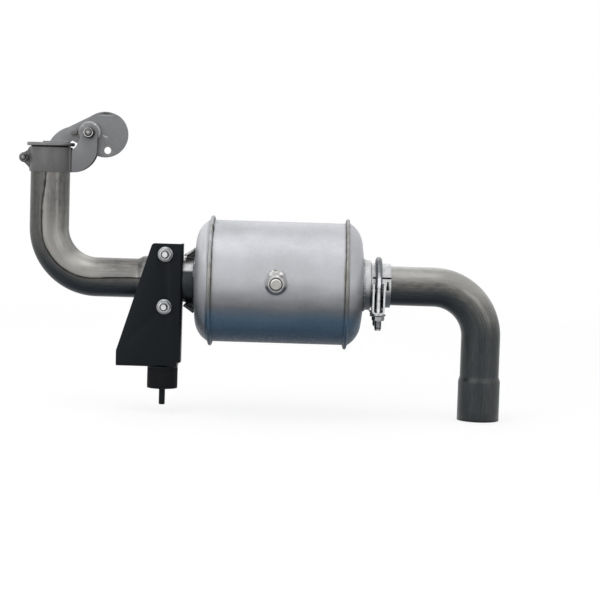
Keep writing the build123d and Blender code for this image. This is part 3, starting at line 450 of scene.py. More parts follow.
# Painted shade and a cold blue painted reflection, darker towards the bottom of the drum.
sheet_metal.stain((0.095, 0.098, 0.105), 0.85, sheet_metal.low_down(15 * mm, -32 * mm))
sheet_metal.stain((0.045, 0.100, 0.162), 0.87, sheet_metal.low_down(-20 * mm, -46 * mm))
sheet_metal.stain((0.008, 0.032, 0.065), 0.9, sheet_metal.low_down(-40 * mm, -66 * mm))
sheet_metal.stain((0.020, 0.026, 0.034), 0.7, sheet_metal.low_down(-70 * mm, -79 * mm))
# A painted highlight on the upper roll of the left head, and painted shade on its lower part.
on_left = sheet_metal.band(along, muffler.x, muffler.x - 10 * mm)
head_roll = sheet_metal.between(from_middle, 91.5, 94, 100, 106)
height = sheet_metal.coordinate("Z")
head_high = sheet_metal.band(height, muffler.z + 20 * mm, muffler.z + 36 * mm)
sheet_metal.stain((0.80, 0.81, 0.83), 0.6, head_roll, head_high, on_left)
on_head = sheet_metal.band(from_middle, 91.5 * mm, 93 * mm)
head_low = sheet_metal.low_down(22 * mm, -2 * mm)
sheet_metal.stain((0.30, 0.305, 0.32), 0.45, on_head, head_low, on_left)
sheet_metal.gloss(fine, 0.42, 0.54)
sheet_metal.grain(fine, 0.05, 0.2 * mm)
print("aluminised sheet ready")

# %% [markdown]
# The necks and collars are plain steel, a bit rougher, with turned lines round them. What looks
# down gets painted shade. Each mesh will keep the way that its surface faces in an attribute
# called `facing`, so a mask is only a band of its Z. The outlet's neck sits behind the bracket,
# and there the painted shade reaches much higher up.

# %% Neck steel
neck_steel = Finish("neck_steel", (0.68, 0.685, 0.70), 0.75, 0.42)
turned = neck_steel.noise(0.0012, neck_steel.places((1, 0.04, 0.04)))
blotches = neck_steel.noise(0.012, neck_steel.places())
neck_steel.tint(blotches, (0.52, 0.52, 0.525))
up = neck_steel.facing()["Z"]
# Painted shade where the steel looks down.
neck_steel.stain((0.045, 0.058, 0.070), 0.93, neck_steel.band(up, 0.16, -0.50))
by_outlet = neck_steel.band(neck_steel.coordinate("X"), -300 * mm, -345 * mm)
# Painted shade on the outlet's neck, reaching almost to where it looks straight up.
neck_steel.stain((0.012, 0.016, 0.020), 0.95, neck_steel.band(up, 0.50, 0.38), by_outlet)
neck_steel.gloss(turned, 0.34, 0.52)
neck_steel.grain(turned, 0.12, 0.15 * mm)
print("neck steel ready")

# %% [markdown]
# The gussets, the boss and its plug are bare steel too, but small, so they show less pattern and
# more light and dark. One helper gives each its mottle, and painted shade where it looks down past
# a slope. The gusset gets painted shade behind its flange, the boss painted shade in the recess
# round the plug, and pits and painted highlights by its weld, and the plug a painted highlight
# where its rim looks up.

# %% Steel of the gussets, the boss and its plug
def turned_steel(name, colour, turns_dark, underside_shade=(0.025, 0.030, 0.036)):
    """Bare steel whose colour drops to painted shade where it looks down past a given slope."""
    finish = Finish(name, colour, 0.7, 0.38)
    mottle = finish.noise(0.005, finish.places(), 4.0)
    finish.stain(tuple(0.75 * c for c in colour), 0.6, mottle)
    up = finish.facing()["Z"]
    finish.stain(underside_shade, 0.93, finish.band(up, turns_dark, turns_dark - 0.35))
    finish.gloss(mottle, 0.30, 0.46)
    finish.grain(mottle, 0.05, 0.15 * mm)
    return finish


gusset_steel = turned_steel("gusset_steel", (0.64, 0.645, 0.65), -2.0)
# Painted shade behind the flange, over the neck, with lighter streaks in it.
behind_flange = gusset_steel.band(gusset_steel.coordinate("Y"), -17 * mm, -14 * mm)
height = gusset_steel.coordinate("Z")
over_neck = gusset_steel.band(height, muffler.z + 28.6 * mm, muffler.z + 29.8 * mm)
gusset_steel.stain((0.008, 0.009, 0.010), 0.95, behind_flange, over_neck)
gusset_streaks = gusset_steel.noise(0.004, gusset_steel.places((1, 1, 0.3)), 4.0)
gusset_steel.stain((0.12, 0.12, 0.12), 0.6, gusset_streaks, behind_flange)
plug_steel = turned_steel("plug_steel", (0.50, 0.49, 0.46), -0.1)
# A painted highlight where the plug's rim looks up.
plug_highlight = plug_steel.band(plug_steel.facing()["Z"], 0.12, 0.45)
plug_steel.stain((0.95, 0.94, 0.90), 0.9, plug_highlight)

# The boss's painted shade under its slope is bluish.
boss_steel = turned_steel("boss_steel", (0.56, 0.56, 0.555), 0.0, (0.085, 0.10, 0.12))
boss_low, boss_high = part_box("cleanout_boss")
boss_axis = Vector((boss_low.x + boss_high.x, 0, boss_low.z + boss_high.z)) / 2
recess_radius = 8.2 * mm
through = 200    # millimetres along Y, so that a spot reaches right through the boss
# Painted shade in the recess round the plug.
recess = boss_steel.spot(boss_axis, (recess_radius, through * mm, recess_radius), 0.06)
boss_steel.stain((0.012, 0.012, 0.012), 0.95, recess)
for across, rise, reach in ((-1.4, 17.6, (2.6, through, 0.9)), (7.0, 10.4, (1.7, through, 1.3))):
    pit = boss_steel.speck(boss_axis, (across, 0, rise), reach, 0.8)
    boss_steel.stain((0.05, 0.05, 0.04), 0.85, pit)
# Painted highlights on the weld.
for across, rise in ((5.6, 13.8), (1.8, 10.6)):
    weld_glint = boss_steel.speck(boss_axis, (across, 0, rise), (1.9, through, 1.3), 0.8)
    boss_steel.stain((0.97, 0.96, 0.92), 0.9, weld_glint)
print("turned steels ready")

# %% [markdown]
# The elbows are raw tube: dark, with long streaks and fine scratches that follow the bend. A
# texture in space can't follow a bend, so each elbow's mesh will keep a second attribute, called
# `straight`, which says where each point would lie if the tube were unbent. The outlet elbow shows
# its weld seam, a dark line with a ground, lighter band beside it, and it wanders a little round
# the tube. In the bend that band gets a painted highlight, a spot on the front of the bend gets
# another, and one side of the stack gets painted shade.

# %% Raw tube
raw_tube = Finish("raw_tube", (0.165, 0.163, 0.158), 0.75, 0.36)
raw_tube.shader.inputs["Specular IOR Level"].default_value = 0.25
streaks = raw_tube.noise(0.0022, raw_tube.places((0.02, 1, 1), "straight"), detail=4.0)
broad = raw_tube.noise(0.014, raw_tube.places((0.06, 1, 1), "straight"))
scratches = raw_tube.noise(0.0014, raw_tube.places((0.07, 1, 1), "straight"), 6.0, 0.5, 0.7)
smudges = raw_tube.noise(0.006, raw_tube.places((0.55, 1, 1), "straight"), 6.0, 0.45, 0.65)
raw_tube.tint(broad, (0.215, 0.212, 0.205))
raw_tube.stain((0.075, 0.072, 0.066), 0.5, streaks)
raw_tube.stain((0.070, 0.068, 0.063), 0.5, smudges)
raw_tube.stain((0.34, 0.335, 0.32), 0.35, scratches)

unbent = raw_tube.axes(raw_tube.places(attribute="straight"))
travel, off_side, off_front = unbent["X"], unbent["Y"], unbent["Z"]
outward_drift = raw_tube.sum("MULTIPLY", raw_tube.band(travel, 60 * mm, 225 * mm), -8.4 * mm)
return_drift = raw_tube.sum("MULTIPLY", raw_tube.band(travel, 225 * mm, 290 * mm), 5 * mm)
drift = raw_tube.sum("ADD", raw_tube.sum("ADD", outward_drift, return_drift), 1.2 * mm)
jitter = raw_tube.sum("MULTIPLY", raw_tube.sum("SUBTRACT", scratches, 0.5), 0.9 * mm)
past_seam = raw_tube.sum("ADD", raw_tube.sum("SUBTRACT", off_side, drift), jitter)
in_front = raw_tube.band(off_front, -5 * mm, -12 * mm)
up_the_stack = raw_tube.band(travel, 200 * mm, 260 * mm)
in_bend = raw_tube.between(travel, 80, 120, 190, 250)
ground_band = raw_tube.between(past_seam, 0.8, 1.6, 4, 14)
raw_tube.stain((0.30, 0.295, 0.285), 0.5, ground_band, in_front)
# A painted highlight beside the seam in the bend.
raw_tube.stain((0.38, 0.375, 0.35), 0.55, raw_tube.band(past_seam, 0, 6 * mm), in_front, in_bend)
raw_tube.stain((0.060, 0.060, 0.058), 0.55, raw_tube.band(past_seam, 0, -1.5 * mm), in_front)
# Painted shade down one side of the stack.
raw_tube.stain((0.06, 0.058, 0.054), 0.45, raw_tube.band(off_side, 10 * mm, 23 * mm), up_the_stack)
# A painted highlight on the front of the bend.
bend_highlight = raw_tube.speck(Vector(), (-522.5, -15, 195), (16, 30, 9), 1.2)
raw_tube.stain((0.60, 0.59, 0.56), 0.5, bend_highlight)
off_seam = raw_tube.sum("ABSOLUTE", past_seam, 0)
seam_line = raw_tube.band(off_seam, 1.5 * mm, 0.6 * mm)
raw_tube.stain((0.018, 0.016, 0.014), 0.92, seam_line, in_front)
wide_seam = raw_tube.band(off_seam, 2.6 * mm, 1.2 * mm)
raw_tube.stain((0.018, 0.016, 0.014), 0.8, wide_seam, in_front, up_the_stack, smudges)

# %% [markdown]
# The inlet elbow is the same tube, so it takes the same finish, and a mask along X tells the two
# apart. It gets a painted highlight where it faces up, and is lighter along the outside of its
# bend, with scratches. Both elbows get a nearly black painted shade underneath, and the length
# that sits in the split neck is painted black as shade.

# %% Raw tube of the inlet, and the painted shade of both
up = raw_tube.facing()["Z"]
side_way = raw_tube.coordinate("X")
by_inlet = raw_tube.band(side_way, muffler.x, muffler.x + 20 * mm)
# A painted highlight where the inlet elbow faces up.
raw_tube.stain((0.47, 0.47, 0.455), 0.75, raw_tube.band(up, 0.22, 0.62), by_inlet)
raw_tube.stain((0.14, 0.14, 0.135), 0.2, raw_tube.band(up, 0.1, 0.6), by_inlet, smudges)
outer_front = raw_tube.between(off_side, -26, -17, -11, -4)
front_side = raw_tube.band(off_front, 2 * mm, 9 * mm)
raw_tube.stain((0.30, 0.29, 0.27), 0.45, outer_front, by_inlet, front_side)
raw_tube.stain((0.45, 0.44, 0.42), 0.45, outer_front, by_inlet, front_side, scratches)
by_outlet = raw_tube.sum("SUBTRACT", 1.0, by_inlet)
# Painted shade on what looks down and low on the inlet, nearly black and bluish at the very bottom.
raw_tube.stain((0.022, 0.027, 0.031), 0.93, raw_tube.band(up, 0.25, -0.35), by_inlet)
raw_tube.stain((0.020, 0.026, 0.031), 0.93, raw_tube.band(up, 0.0, -0.42), by_outlet)
raw_tube.stain((0.030, 0.036, 0.040), 0.82, raw_tube.low_down(0, -62 * mm), by_inlet)
raw_tube.stain((0.085, 0.088, 0.088), 0.25, raw_tube.band(up, 0.2, -0.1), scratches)
raw_tube.stain((0.004, 0.009, 0.015), 0.92, raw_tube.band(up, -0.30, -0.80))
# Painted shade on the length inside the split neck.
in_neck = raw_tube.band(side_way, -119.5 * mm, -120.5 * mm)
raw_tube.stain((0.008, 0.008, 0.008), 0.95, in_neck, by_inlet)
raw_tube.gloss(streaks, 0.28, 0.42)
raw_tube.grain(streaks, 0.06, 0.15 * mm)
print("raw tube ready")

# %% [markdown]
# The U-bolts and nuts are zinc plated. Each zinc finish is bright where a face looks straight out
# and gets painted shade on its flanks. The saddle is brighter, the round rod of a U-bolt gets a
# painted highlight in a line down its middle, the bolts of the rain cap have gone dull, and its
# locking nuts and washers are duller still, with a painted shadow and a painted highlight on the
# lower rim. So these get their own mixes of the same nodes.

# %% Zinc
def zinc(name, front, flank_shade, straight_out=0.93, turned_away=0.6):
    """Zinc plate: a colour where it faces the viewer's side, painted shade on its flanks and
    underside.
    """
    finish = Finish(name, front, 0.9, 0.26)
    spangle = finish.noise(0.004, finish.places())
    finish.stain(tuple(0.6 * c for c in front), 0.6, spangle)
    # Painted light and shade: the front colour where the face looks out along Y, the flank shade on
    # the sides, dark below.
    facing = finish.facing()
    outward = finish.sum("ABSOLUTE", facing["Y"], 0)
    finish.stain(flank_shade, 0.85, finish.band(outward, straight_out, turned_away))
    finish.stain((0.05, 0.058, 0.066), 0.75, finish.band(facing["Z"], -0.15, -0.75))
    finish.gloss(spangle, 0.20, 0.34)
    return finish


zinc_plate = zinc("zinc_plate", (0.42, 0.43, 0.44), (0.15, 0.16, 0.17))
saddle_zinc = zinc("saddle_zinc", (0.70, 0.71, 0.72), (0.62, 0.63, 0.64))
# The rod's front colour is a painted highlight in a line down its middle.
rod_zinc = zinc("rod_zinc", (0.80, 0.81, 0.83), (0.07, 0.08, 0.09), 0.97, 0.80)
dull_zinc = zinc("dull_zinc", (0.20, 0.20, 0.195), (0.06, 0.06, 0.06))
nut_front = Vector((pivot.x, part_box("pivot_nut")[0].y, pivot.z))
bolt_centre = dull_zinc.speck(nut_front, (0, 0, 0), (1.6, 3, 1.6), 1.0)
dull_zinc.stain((0.60, 0.60, 0.61), 0.8, bolt_centre)

nut_zinc = zinc("nut_zinc", (0.17, 0.17, 0.168), (0.035, 0.036, 0.038))
# A painted shadow below and right of the nut, and a painted highlight on its lower rim.
shade = nut_zinc.speck(nut_front, (6, 0, -6), (9, 20, 9), 0.6)
nut_zinc.stain((0.012, 0.012, 0.013), 0.9, shade)
rim = nut_zinc.speck(nut_front, (0, 0, 0), (7.6, 1.9, 7.6), 0.2)
lower_rim_highlight = nut_zinc.band(nut_zinc.facing()["Z"], 0.15, -0.15)
nut_zinc.stain((0.98, 0.98, 1.0), 1.0, rim, lower_rim_highlight)
print("zinc finishes ready")

# %% [markdown]
# The bracket is satin black paint and the rain cap gray paint, both with the slightest orange
# peel. The collar is the darkest gray; its ears, the arm, the lid and the spacer rings are a
# lighter gray, and the spacer rings get painted highlights. What looks down, and on the lighter
# pieces what looks right, gets painted shade, as do the crease where an ear leaves the collar and
# the inside of the far ear. The fold of the weight gets a painted highlight and the top of its tab
# painted shade, and the arm has a curved scratch and a rusty spot.

# %% Paints
black_paint = Finish("black_paint", (0.010, 0.0130, 0.017), 0.0, 0.42)
black_paint.shader.inputs["Specular IOR Level"].default_value = 0.12
peel = black_paint.noise(0.0025, black_paint.places())
black_paint.gloss(peel, 0.36, 0.48)
black_paint.grain(peel, 0.04, 0.2 * mm)


def cap_paint(name, colour, rightward=0.55):
    """Gray paint with orange peel, scuffs, and painted shade where it looks down or to the right.
    """
    finish = Finish(name, colour, 0.15, 0.42)
    finish.shader.inputs["Specular IOR Level"].default_value = 0.35
    paint_peel = finish.noise(0.0022, finish.places())
    scuffs = finish.noise(0.009, finish.places(), low=0.55, high=0.75)
    chips = finish.noise(0.0016, finish.places(), 2.0, 0.66, 0.72)
    finish.stain(tuple(1.35 * c for c in colour), 0.35, scuffs)
    finish.stain(tuple(1.7 * c for c in colour), 0.5, chips)
    facing = finish.facing()
    # Painted shade where the paint looks down or, by the rightward share, to the right.
    to_right = finish.sum("MULTIPLY", facing["X"], rightward)
    shaded = finish.sum("SUBTRACT", to_right, facing["Z"])
    finish.stain((0.018, 0.018, 0.018), 0.9, finish.band(shaded, 0.22, 0.6))
    finish.gloss(paint_peel, 0.36, 0.50)
    finish.grain(paint_peel, 0.06, 0.2 * mm)
    return finish


gray_paint = cap_paint("gray_paint", (0.178, 0.178, 0.180), 0.0)
from_stack = gray_paint.sum("SUBTRACT", gray_paint.coordinate("X"), stack_x)
gray_paint.stain((0.285, 0.288, 0.300), 0.9, gray_paint.band(from_stack, 28.2 * mm, 28.8 * mm))
# Painted shade in the crease where the ear leaves the collar.
crease_shade = gray_paint.between(from_stack, 26.8, 27.2, 28.2, 28.6)
gray_paint.stain((0.02, 0.02, 0.02), 0.85, crease_shade)
# Painted shade on the inside of the far ear.
deep = gray_paint.band(gray_paint.coordinate("Y"), 5 * mm, 7 * mm)
looks_front = gray_paint.band(gray_paint.facing()["Y"], -0.4, -0.8)
on_ear = gray_paint.band(from_stack, 28 * mm, 29 * mm)
gray_paint.stain((0.014, 0.014, 0.014), 0.93, deep, looks_front, on_ear)

worn_and_highlit_paint = cap_paint("worn_and_highlit_paint", (0.30, 0.303, 0.315))
# Painted highlights on the spacer rings: where they look up or right, above the nut, and two small
# glints.
rim_up = worn_and_highlit_paint.sum("ADD", worn_and_highlit_paint.facing()["Z"], worn_and_highlit_paint.facing()["X"])
worn_and_highlit_paint.stain((0.66, 0.67, 0.69), 0.8, worn_and_highlit_paint.band(rim_up, 0.1, 0.6))
above_nut = worn_and_highlit_paint.band(worn_and_highlit_paint.coordinate("Z"), pivot.z + 1 * mm, pivot.z + 8 * mm)
worn_and_highlit_paint.stain((0.46, 0.47, 0.485), 0.7, above_nut)
for across, rise in ((-7.6, 7.8), (7.3, 10.3)):
    glint = worn_and_highlit_paint.speck(pivot, (across, 0, rise), (1.0, 100, 1.0), 0.8)
    worn_and_highlit_paint.stain((0.95, 0.95, 0.97), 0.9, glint)

arm_paint = cap_paint("arm_paint", (0.285, 0.288, 0.300))
# A painted highlight along the fold of the weight.
fold_highlight = arm_paint.speck(pivot, (20.5, -3, 22.2), (12, 20, 0.55), 0.6)
arm_paint.stain((0.62, 0.62, 0.62), 0.9, fold_highlight)
# Painted shade on the top of the folded tab.
tab_shade = arm_paint.speck(pivot, (21, -3, 25.4), (6, 20, 1.5), 0.8)
arm_paint.stain((0.08, 0.08, 0.07), 0.85, tab_shade)
for across, rise in ((17.8, -3.6), (19.0, -4.7), (20.6, -5.3), (22.2, -5.2)):
    scratch = arm_paint.speck(pivot, (across, -3, rise), (1.3, 20, 0.8), 0.7)
    arm_paint.stain((0.75, 0.75, 0.76), 0.8, scratch)
rusty = arm_paint.speck(pivot, (-18.5, -3, -2.4), (5.5, 20, 4), 1.0)
arm_paint.stain((0.10, 0.10, 0.082), 0.55, rusty)
print("paints ready")

# %% [markdown]
# The mount is matt rubber with a little dust. The sheet inside the drum is hardly seen, so it gets
# only one noise. Last, each solid takes the finish of its slot, because some of them, such as the
# baffles, are shown as they are.

# %% Rubber, the sheet inside and the slots
black_rubber = Finish("black_rubber", (0.010, 0.011, 0.013), 0.0, 0.75)
black_rubber.shader.inputs["Specular IOR Level"].default_value = 0.12
rubber_dust = black_rubber.noise(0.006, black_rubber.places())
black_rubber.tint(black_rubber.sum("MULTIPLY", rubber_dust, 0.3), (0.025, 0.025, 0.026))

inner_steel = Finish("inner_steel", (0.40, 0.40, 0.41), 0.8, 0.45)
inner_steel.tint(inner_steel.noise(0.01, inner_steel.places()), (0.30, 0.30, 0.30))

finish_of = {
    "aluminised_sheet": sheet_metal.material,
    "neck_steel": neck_steel.material,
    "raw_tube": raw_tube.material,
    "zinc_plate": zinc_plate.material,
    "black_paint": black_paint.material,
    "gray_paint": gray_paint.material,
    "black_rubber": black_rubber.material,
    "inner_steel": inner_steel.material,
}
for node, solid in frame["nodes"].items():
    solid.data.materials.clear()
    solid.data.materials.append(finish_of[slot_of[node]])
print("finishes:", len(finish_of))

# %% [markdown]
# ## Putting a piece in the scene
#
# Every new mesh goes through the same door. Its normals are made to agree, it is shaded smooth
# except over sharp corners, it takes the finish and body of the solid that it stands for, and
# that solid is then hidden. Here the mesh also notes which way each of its corners faces, for the
# masks of painted shade and painted highlights above.

# %% Helper that places a finished mesh
corner_angle = 32


def place(name, bm, *nodes, like=None, finish=None, wall=0.0, wall_side=0.0):
    """Makes a piece of the mesh; it replaces the nodes, or only belongs with the one it is like."""
    bmesh.ops.recalc_face_normals(bm, faces=bm.faces)
    mesh = bpy.data.meshes.new(name)
    bm.to_mesh(mesh)
    bm.free()
    mesh.shade_smooth()
    mesh.set_sharp_from_angle(angle=radians(corner_angle))
    facing = mesh.attributes.new("facing", "FLOAT_VECTOR", "CORNER")
    normals = [0.0] * (3 * len(mesh.loops))
    mesh.corner_normals.foreach_get("vector", normals)
    facing.data.foreach_set("vector", normals)
    piece = bpy.data.objects.new(name, mesh)
    bpy.context.scene.collection.objects.link(piece)
    node = like or nodes[0]
    mesh.materials.append(finish.material if finish else finish_of[slot_of[node]])
    if wall:
        thicken = piece.modifiers.new("wall", "SOLIDIFY")
        thicken.thickness = wall
        thicken.offset = wall_side
        thicken.use_even_offset = True
    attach(piece, frame["nodes"][node]["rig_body"])
    if nodes:
        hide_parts(*nodes)
    print(f"{name}: {len(mesh.polygons)} faces")
    return piece


# %% [markdown]
# ## Sheet metal drawn like a folding machine
#
# A sheet's section is a line of straight runs and bends. The pen below keeps one vertex and the
# way it is heading: a run extrudes the vertex forward and a bend spins it about the centre of the
# fold. Spinning the whole line round the muffler's axis then makes the drum.

# %% The pen
class Pen:
    """Draws a section in a plane with one vertex, from a start and a heading in degrees."""

    def __init__(self, bm, origin, across, up, start, heading):
        self.bm = bm
        self.across, self.up = across, up
        self.heading = radians(heading)
        self.vert = bm.verts.new(origin + across * start[0] + up * start[1])

    def direction(self, turn=0.0):
        angle = self.heading + turn
        return self.across * cos(angle) + self.up * sin(angle)

    def run(self, length):
        self.vert = bmesh.ops.extrude_vert_indiv(self.bm, verts=[self.vert])["verts"][0]
        self.vert.co += self.direction() * length
        return self

    def bend(self, degrees, radius, steps=8):
        turn = radians(degrees)
        centre = self.vert.co + self.direction(pi / 2 if turn > 0 else -pi / 2) * radius
        spun = bmesh.ops.spin(
            self.bm, geom=[self.vert], cent=centre, axis=self.across.cross(self.up),
            angle=turn, steps=steps,
        )
        self.vert = spun["geom_last"][0]
        self.heading += turn
        return self


def spin_round(bm, axis_point, axis, steps=128):
    """Spins everything drawn so far once round an axis."""
    bmesh.ops.spin(
        bm, geom=bm.verts[:] + bm.edges[:], cent=axis_point, axis=axis, angle=tau,
        steps=steps, use_merge=True,
    )


print("pen ready")

# %% [markdown]
# ## Shell and heads
#
# The drum is one rolled sheet with a flange turned out at each end. Each head is a pressed dome
# whose hem is rolled over that flange, which makes the raised ring near the drum's end. The
# section below is the middle of the sheet, and a Solidify modifier gives it the sheet's
# thickness on both sides.

# %% Shell skin
sheet = 1.5 * mm
shell_radius = 79.0 * mm
flange_radius = 82.35 * mm
root_bend = 3.35 * mm

bm = bmesh.new()
mid_radius = shell_radius - sheet / 2
pen = Pen(bm, muffler, X, Z, (-seam_offset, flange_radius), -90)
pen.run(flange_radius - mid_radius - root_bend)
pen.bend(90, root_bend).run(2 * (seam_offset - root_bend)).bend(90, root_bend)
pen.run(flange_radius - mid_radius - root_bend)
spin_round(bm, muffler, X, 160)
place("shell_skin", bm, "shell", wall=sheet)

# %% [markdown]
# The pen draws a head from the tip of its hem: round the root of the flange, up, over the roll,
# down, through the toe and along the dome to its hole. The outlet head is the same line with its
# own sizes, drawn on a mirrored axis.

# %% Head skins
hem_gap = 0.1 * mm
hem_bend = sheet + hem_gap
hem_tip_turn = 60
root_inside = 2.6 * mm
toe_bend = 4.4 * mm


def head_skin(name, node, side, dome_radius, dome_start, dome_end, hole_radius):
    """A pressed head, drawn outward from the muffler's middle on the side given by 1 or -1."""
    bm = bmesh.new()
    outward = X * side
    tip_bend = root_inside - hem_gap - sheet / 2
    root = seam_offset - sheet / 2 - root_inside
    tip = (
        root + tip_bend * cos(radians(hem_tip_turn)),
        shell_radius + root_inside - tip_bend * sin(radians(hem_tip_turn)),
    )
    pen = Pen(bm, muffler, outward, Z, tip, 90 - hem_tip_turn)
    pen.bend(hem_tip_turn, tip_bend, 4)
    pen.run(flange_radius - shell_radius - root_inside)
    pen.bend(-180, hem_bend, 12).run(0.7 * mm)
    pen.bend(90 - dome_start, toe_bend, 6)
    pen.bend(dome_start - dome_end, dome_radius - sheet / 2, 16)
    here = (pen.vert.co - muffler).dot(Z)
    pen.run((here - hole_radius) / sin(radians(dome_end)))
    print(name, "reaches", round((pen.vert.co - muffler).dot(outward) / mm, 2), "mm")
    spin_round(bm, muffler, X, 160)
    return place(name, bm, node, wall=sheet)


inlet_neck_radius = 28.6 * mm
outlet_tube_radius = 27.45 * mm
weld_gap = 0.1 * mm
head_skin("inlet_head_skin", "inlet_head", 1, 35.5 * mm, 33, 83, inlet_neck_radius + weld_gap)
head_skin("outlet_head_skin", "outlet_head", -1, 32.0 * mm, 30, 86, outlet_tube_radius + weld_gap)

# %% [markdown]
# ## Elbows
#
# A tube bender keeps the tube round while it swings it about a centre. Blender can do the same:
# a ring of edges is extruded along a straight run, spun about the centre of the bend, and
# extruded again. The ends that slip over another tube are expanded, which is a scale of the
# rings. Each point also stores where it would be on the unbent tube, for the streaks.

# %% Pipe bender
class Pipe:
    """Sweeps a ring of edges through runs, bends and changes of radius."""

    def __init__(self, bm, start, heading, turn_axis, radius, sides=72):
        self.bm = bm
        self.heading = heading.normalized()
        self.turn_axis = turn_axis
        self.centre = Vector(start)
        self.radius = radius
        self.travel = 0.0
        self.straight = bm.verts.layers.float_vector.new("straight")
        facing = self.heading.to_track_quat("Z", "Y").to_matrix().to_4x4()
        ring = bmesh.ops.create_circle(
            bm, segments=sides, radius=radius, matrix=Matrix.Translation(start) @ facing
        )
        self.ring = ring["verts"]
        self.mark(self.ring, self.centre, self.heading, 0.0)

    def mark(self, verts, centre, heading, travel):
        """Stores each vertex's place on the straight tube."""
        side = self.turn_axis.cross(heading)
        for vert in verts:
            away = vert.co - centre
            vert[self.straight] = Vector((travel, away.dot(side), away.dot(self.turn_axis)))

    def ring_edges(self):
        ring = set(self.ring)
        return [e for v in self.ring for e in v.link_edges if e.other_vert(v) in ring]

    def run(self, length, radius=None, pieces=1):
        """Straight on, in equal pieces; a new radius is reached with an S-shaped flare."""
        first = self.radius
        last = radius or first
        for piece in range(1, pieces + 1):
            share = piece / pieces
            eased = share * share * (3 - 2 * share)
            edges = list(set(self.ring_edges()))
            grown = bmesh.ops.extrude_edge_only(self.bm, edges=edges)["geom"]
            self.ring = [g for g in grown if isinstance(g, bmesh.types.BMVert)]
            step = self.heading * (length / pieces)
            bmesh.ops.translate(self.bm, verts=self.ring, vec=step)
            self.centre = self.centre + step
            self.travel += length / pieces
            wanted = first + (last - first) * eased
            factor = wanted / self.radius
            bmesh.ops.scale(
                self.bm, verts=self.ring, vec=(factor,) * 3,
                space=Matrix.Translation(-self.centre),
            )
            self.radius = wanted
            self.mark(self.ring, self.centre, self.heading, self.travel)
        return self

    def bend(self, degrees, bend_radius, steps=28):
        """Swings the ring about a centre to the left of its heading, seen down the turn axis."""
        inward = self.turn_axis.cross(self.heading) * (1 if degrees > 0 else -1)
        pivot_point = self.centre + inward * bend_radius
        for _ in range(steps):
            turn = radians(degrees) / steps
            spun = bmesh.ops.spin(
                self.bm, geom=self.ring + list(set(self.ring_edges())), cent=pivot_point,
                axis=self.turn_axis, angle=turn, steps=1,
            )
            self.ring = [g for g in spun["geom_last"] if isinstance(g, bmesh.types.BMVert)]
            swing = Matrix.Rotation(turn, 3, self.turn_axis)
            self.centre = pivot_point + swing @ (self.centre - pivot_point)
            self.heading = swing @ self.heading
            self.travel += abs(turn) * bend_radius
            self.mark(self.ring, self.centre, self.heading, self.travel)
        return self


print("pipe bender ready")

# %% [markdown]
# Both elbows start at their expanded end: a wide length, a flare down to the tube, a straight run,
# one bend of a quarter turn and a last run. A Solidify modifier gives the tube its wall, inwards.

# %% Elbow skins
tube_radius = 25.4 * mm
tube_wall = 1.65 * mm
bend_radius = 63.5 * mm
inlet_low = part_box("inlet_elbow")[0]
outlet_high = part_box("outlet_elbow")[1]

bm = bmesh.new()
socket_radius = 27.25 * mm
socket_depth = 50.0 * mm
socket_cone = 8.0 * mm
pipe = Pipe(bm, Vector(), Z, -Y, socket_radius)
pipe.run(socket_depth, pieces=4).run(socket_cone, tube_radius, pieces=8)
pipe.run(muffler.z - bend_radius - socket_depth - socket_cone, pieces=5).bend(90, bend_radius)
pipe.run(-bend_radius - inlet_low.x, pieces=8)
place("inlet_elbow_skin", bm, "inlet_elbow", wall=tube_wall, wall_side=-1)

bm = bmesh.new()
mouth_radius = 29.3 * mm
mouth_depth = 46.4 * mm
mouth_cone = 9.9 * mm
mouth = Vector((outlet_high.x, 0, muffler.z))
pipe = Pipe(bm, mouth, -X, Y, mouth_radius)
pipe.run(mouth_depth, pieces=4).run(mouth_cone, tube_radius, pieces=8)
pipe.run(pipe.centre.x - stack_x - bend_radius, pieces=6).bend(90, bend_radius)
pipe.run(stack_top - pipe.centre.z, pieces=6)
place("outlet_elbow_skin", bm, "outlet_elbow", wall=tube_wall, wall_side=-1)
print("outlet elbow ends at", tuple(round(v, 4) for v in pipe.centre))

# %% [markdown]
# ## Small pieces, softened
#
# Folded brackets, nuts and clamps need no new modelling, but a CAD solid comes as loose flat
# triangles with knife edges. A softened copy joins the triangles, dissolves the flat ones into
# whole faces, and breaks each sharp edge with a tiny bevel that catches the light as real edges
# do. The bevel doesn't clamp, because the short edges round a hole would hold it to nothing.

# %% Softened copies
sharp_corner = 35
flat_enough = 0.2
merge_gap = 0.001 * mm


def softened(node, edge=0.3 * mm, finish=None):
    """Replaces a solid with a merged copy of itself whose sharp edges are broken."""
    bm = bmesh.new()
    bm.from_mesh(frame["nodes"][node].data)
    bmesh.ops.remove_doubles(bm, verts=bm.verts, dist=merge_gap)
    bmesh.ops.dissolve_limit(
        bm, angle_limit=radians(flat_enough), verts=bm.verts, edges=bm.edges
    )
    sharp = [e for e in bm.edges if e.calc_face_angle(0.0) > radians(sharp_corner)]
    bmesh.ops.bevel(
        bm, geom=sharp, offset=edge, offset_type="OFFSET", affect="EDGES", segments=2,
        profile=0.5, material=-1, clamp_overlap=False,
    )
    return place(node + "_skin", bm, node, finish=finish)


for node in ("bracket", "cap_clamp_front", "cap_clamp_rear"):
    softened(node)
softened("upper_gusset", finish=gusset_steel)
softened("lower_gusset")
softened("flapper_arm", finish=arm_paint)
softened("inlet_saddle", 0.2 * mm, saddle_zinc)
for node in ("inlet_neck", "isolator_top_plate", "isolator_base_plate"):
    softened(node, 0.2 * mm)
for node in ("inlet_clamp_nuts", "bracket_nuts", "isolator_nut"):
    softened(node, 0.15 * mm)
for node in ("cap_clamp_bolt", "pivot_bolt"):
    softened(node, 0.15 * mm, dull_zinc)
softened("pivot_washers", 0.15 * mm, nut_zinc)
softened("pivot_spacers", 0.15 * mm, worn_and_highlit_paint)

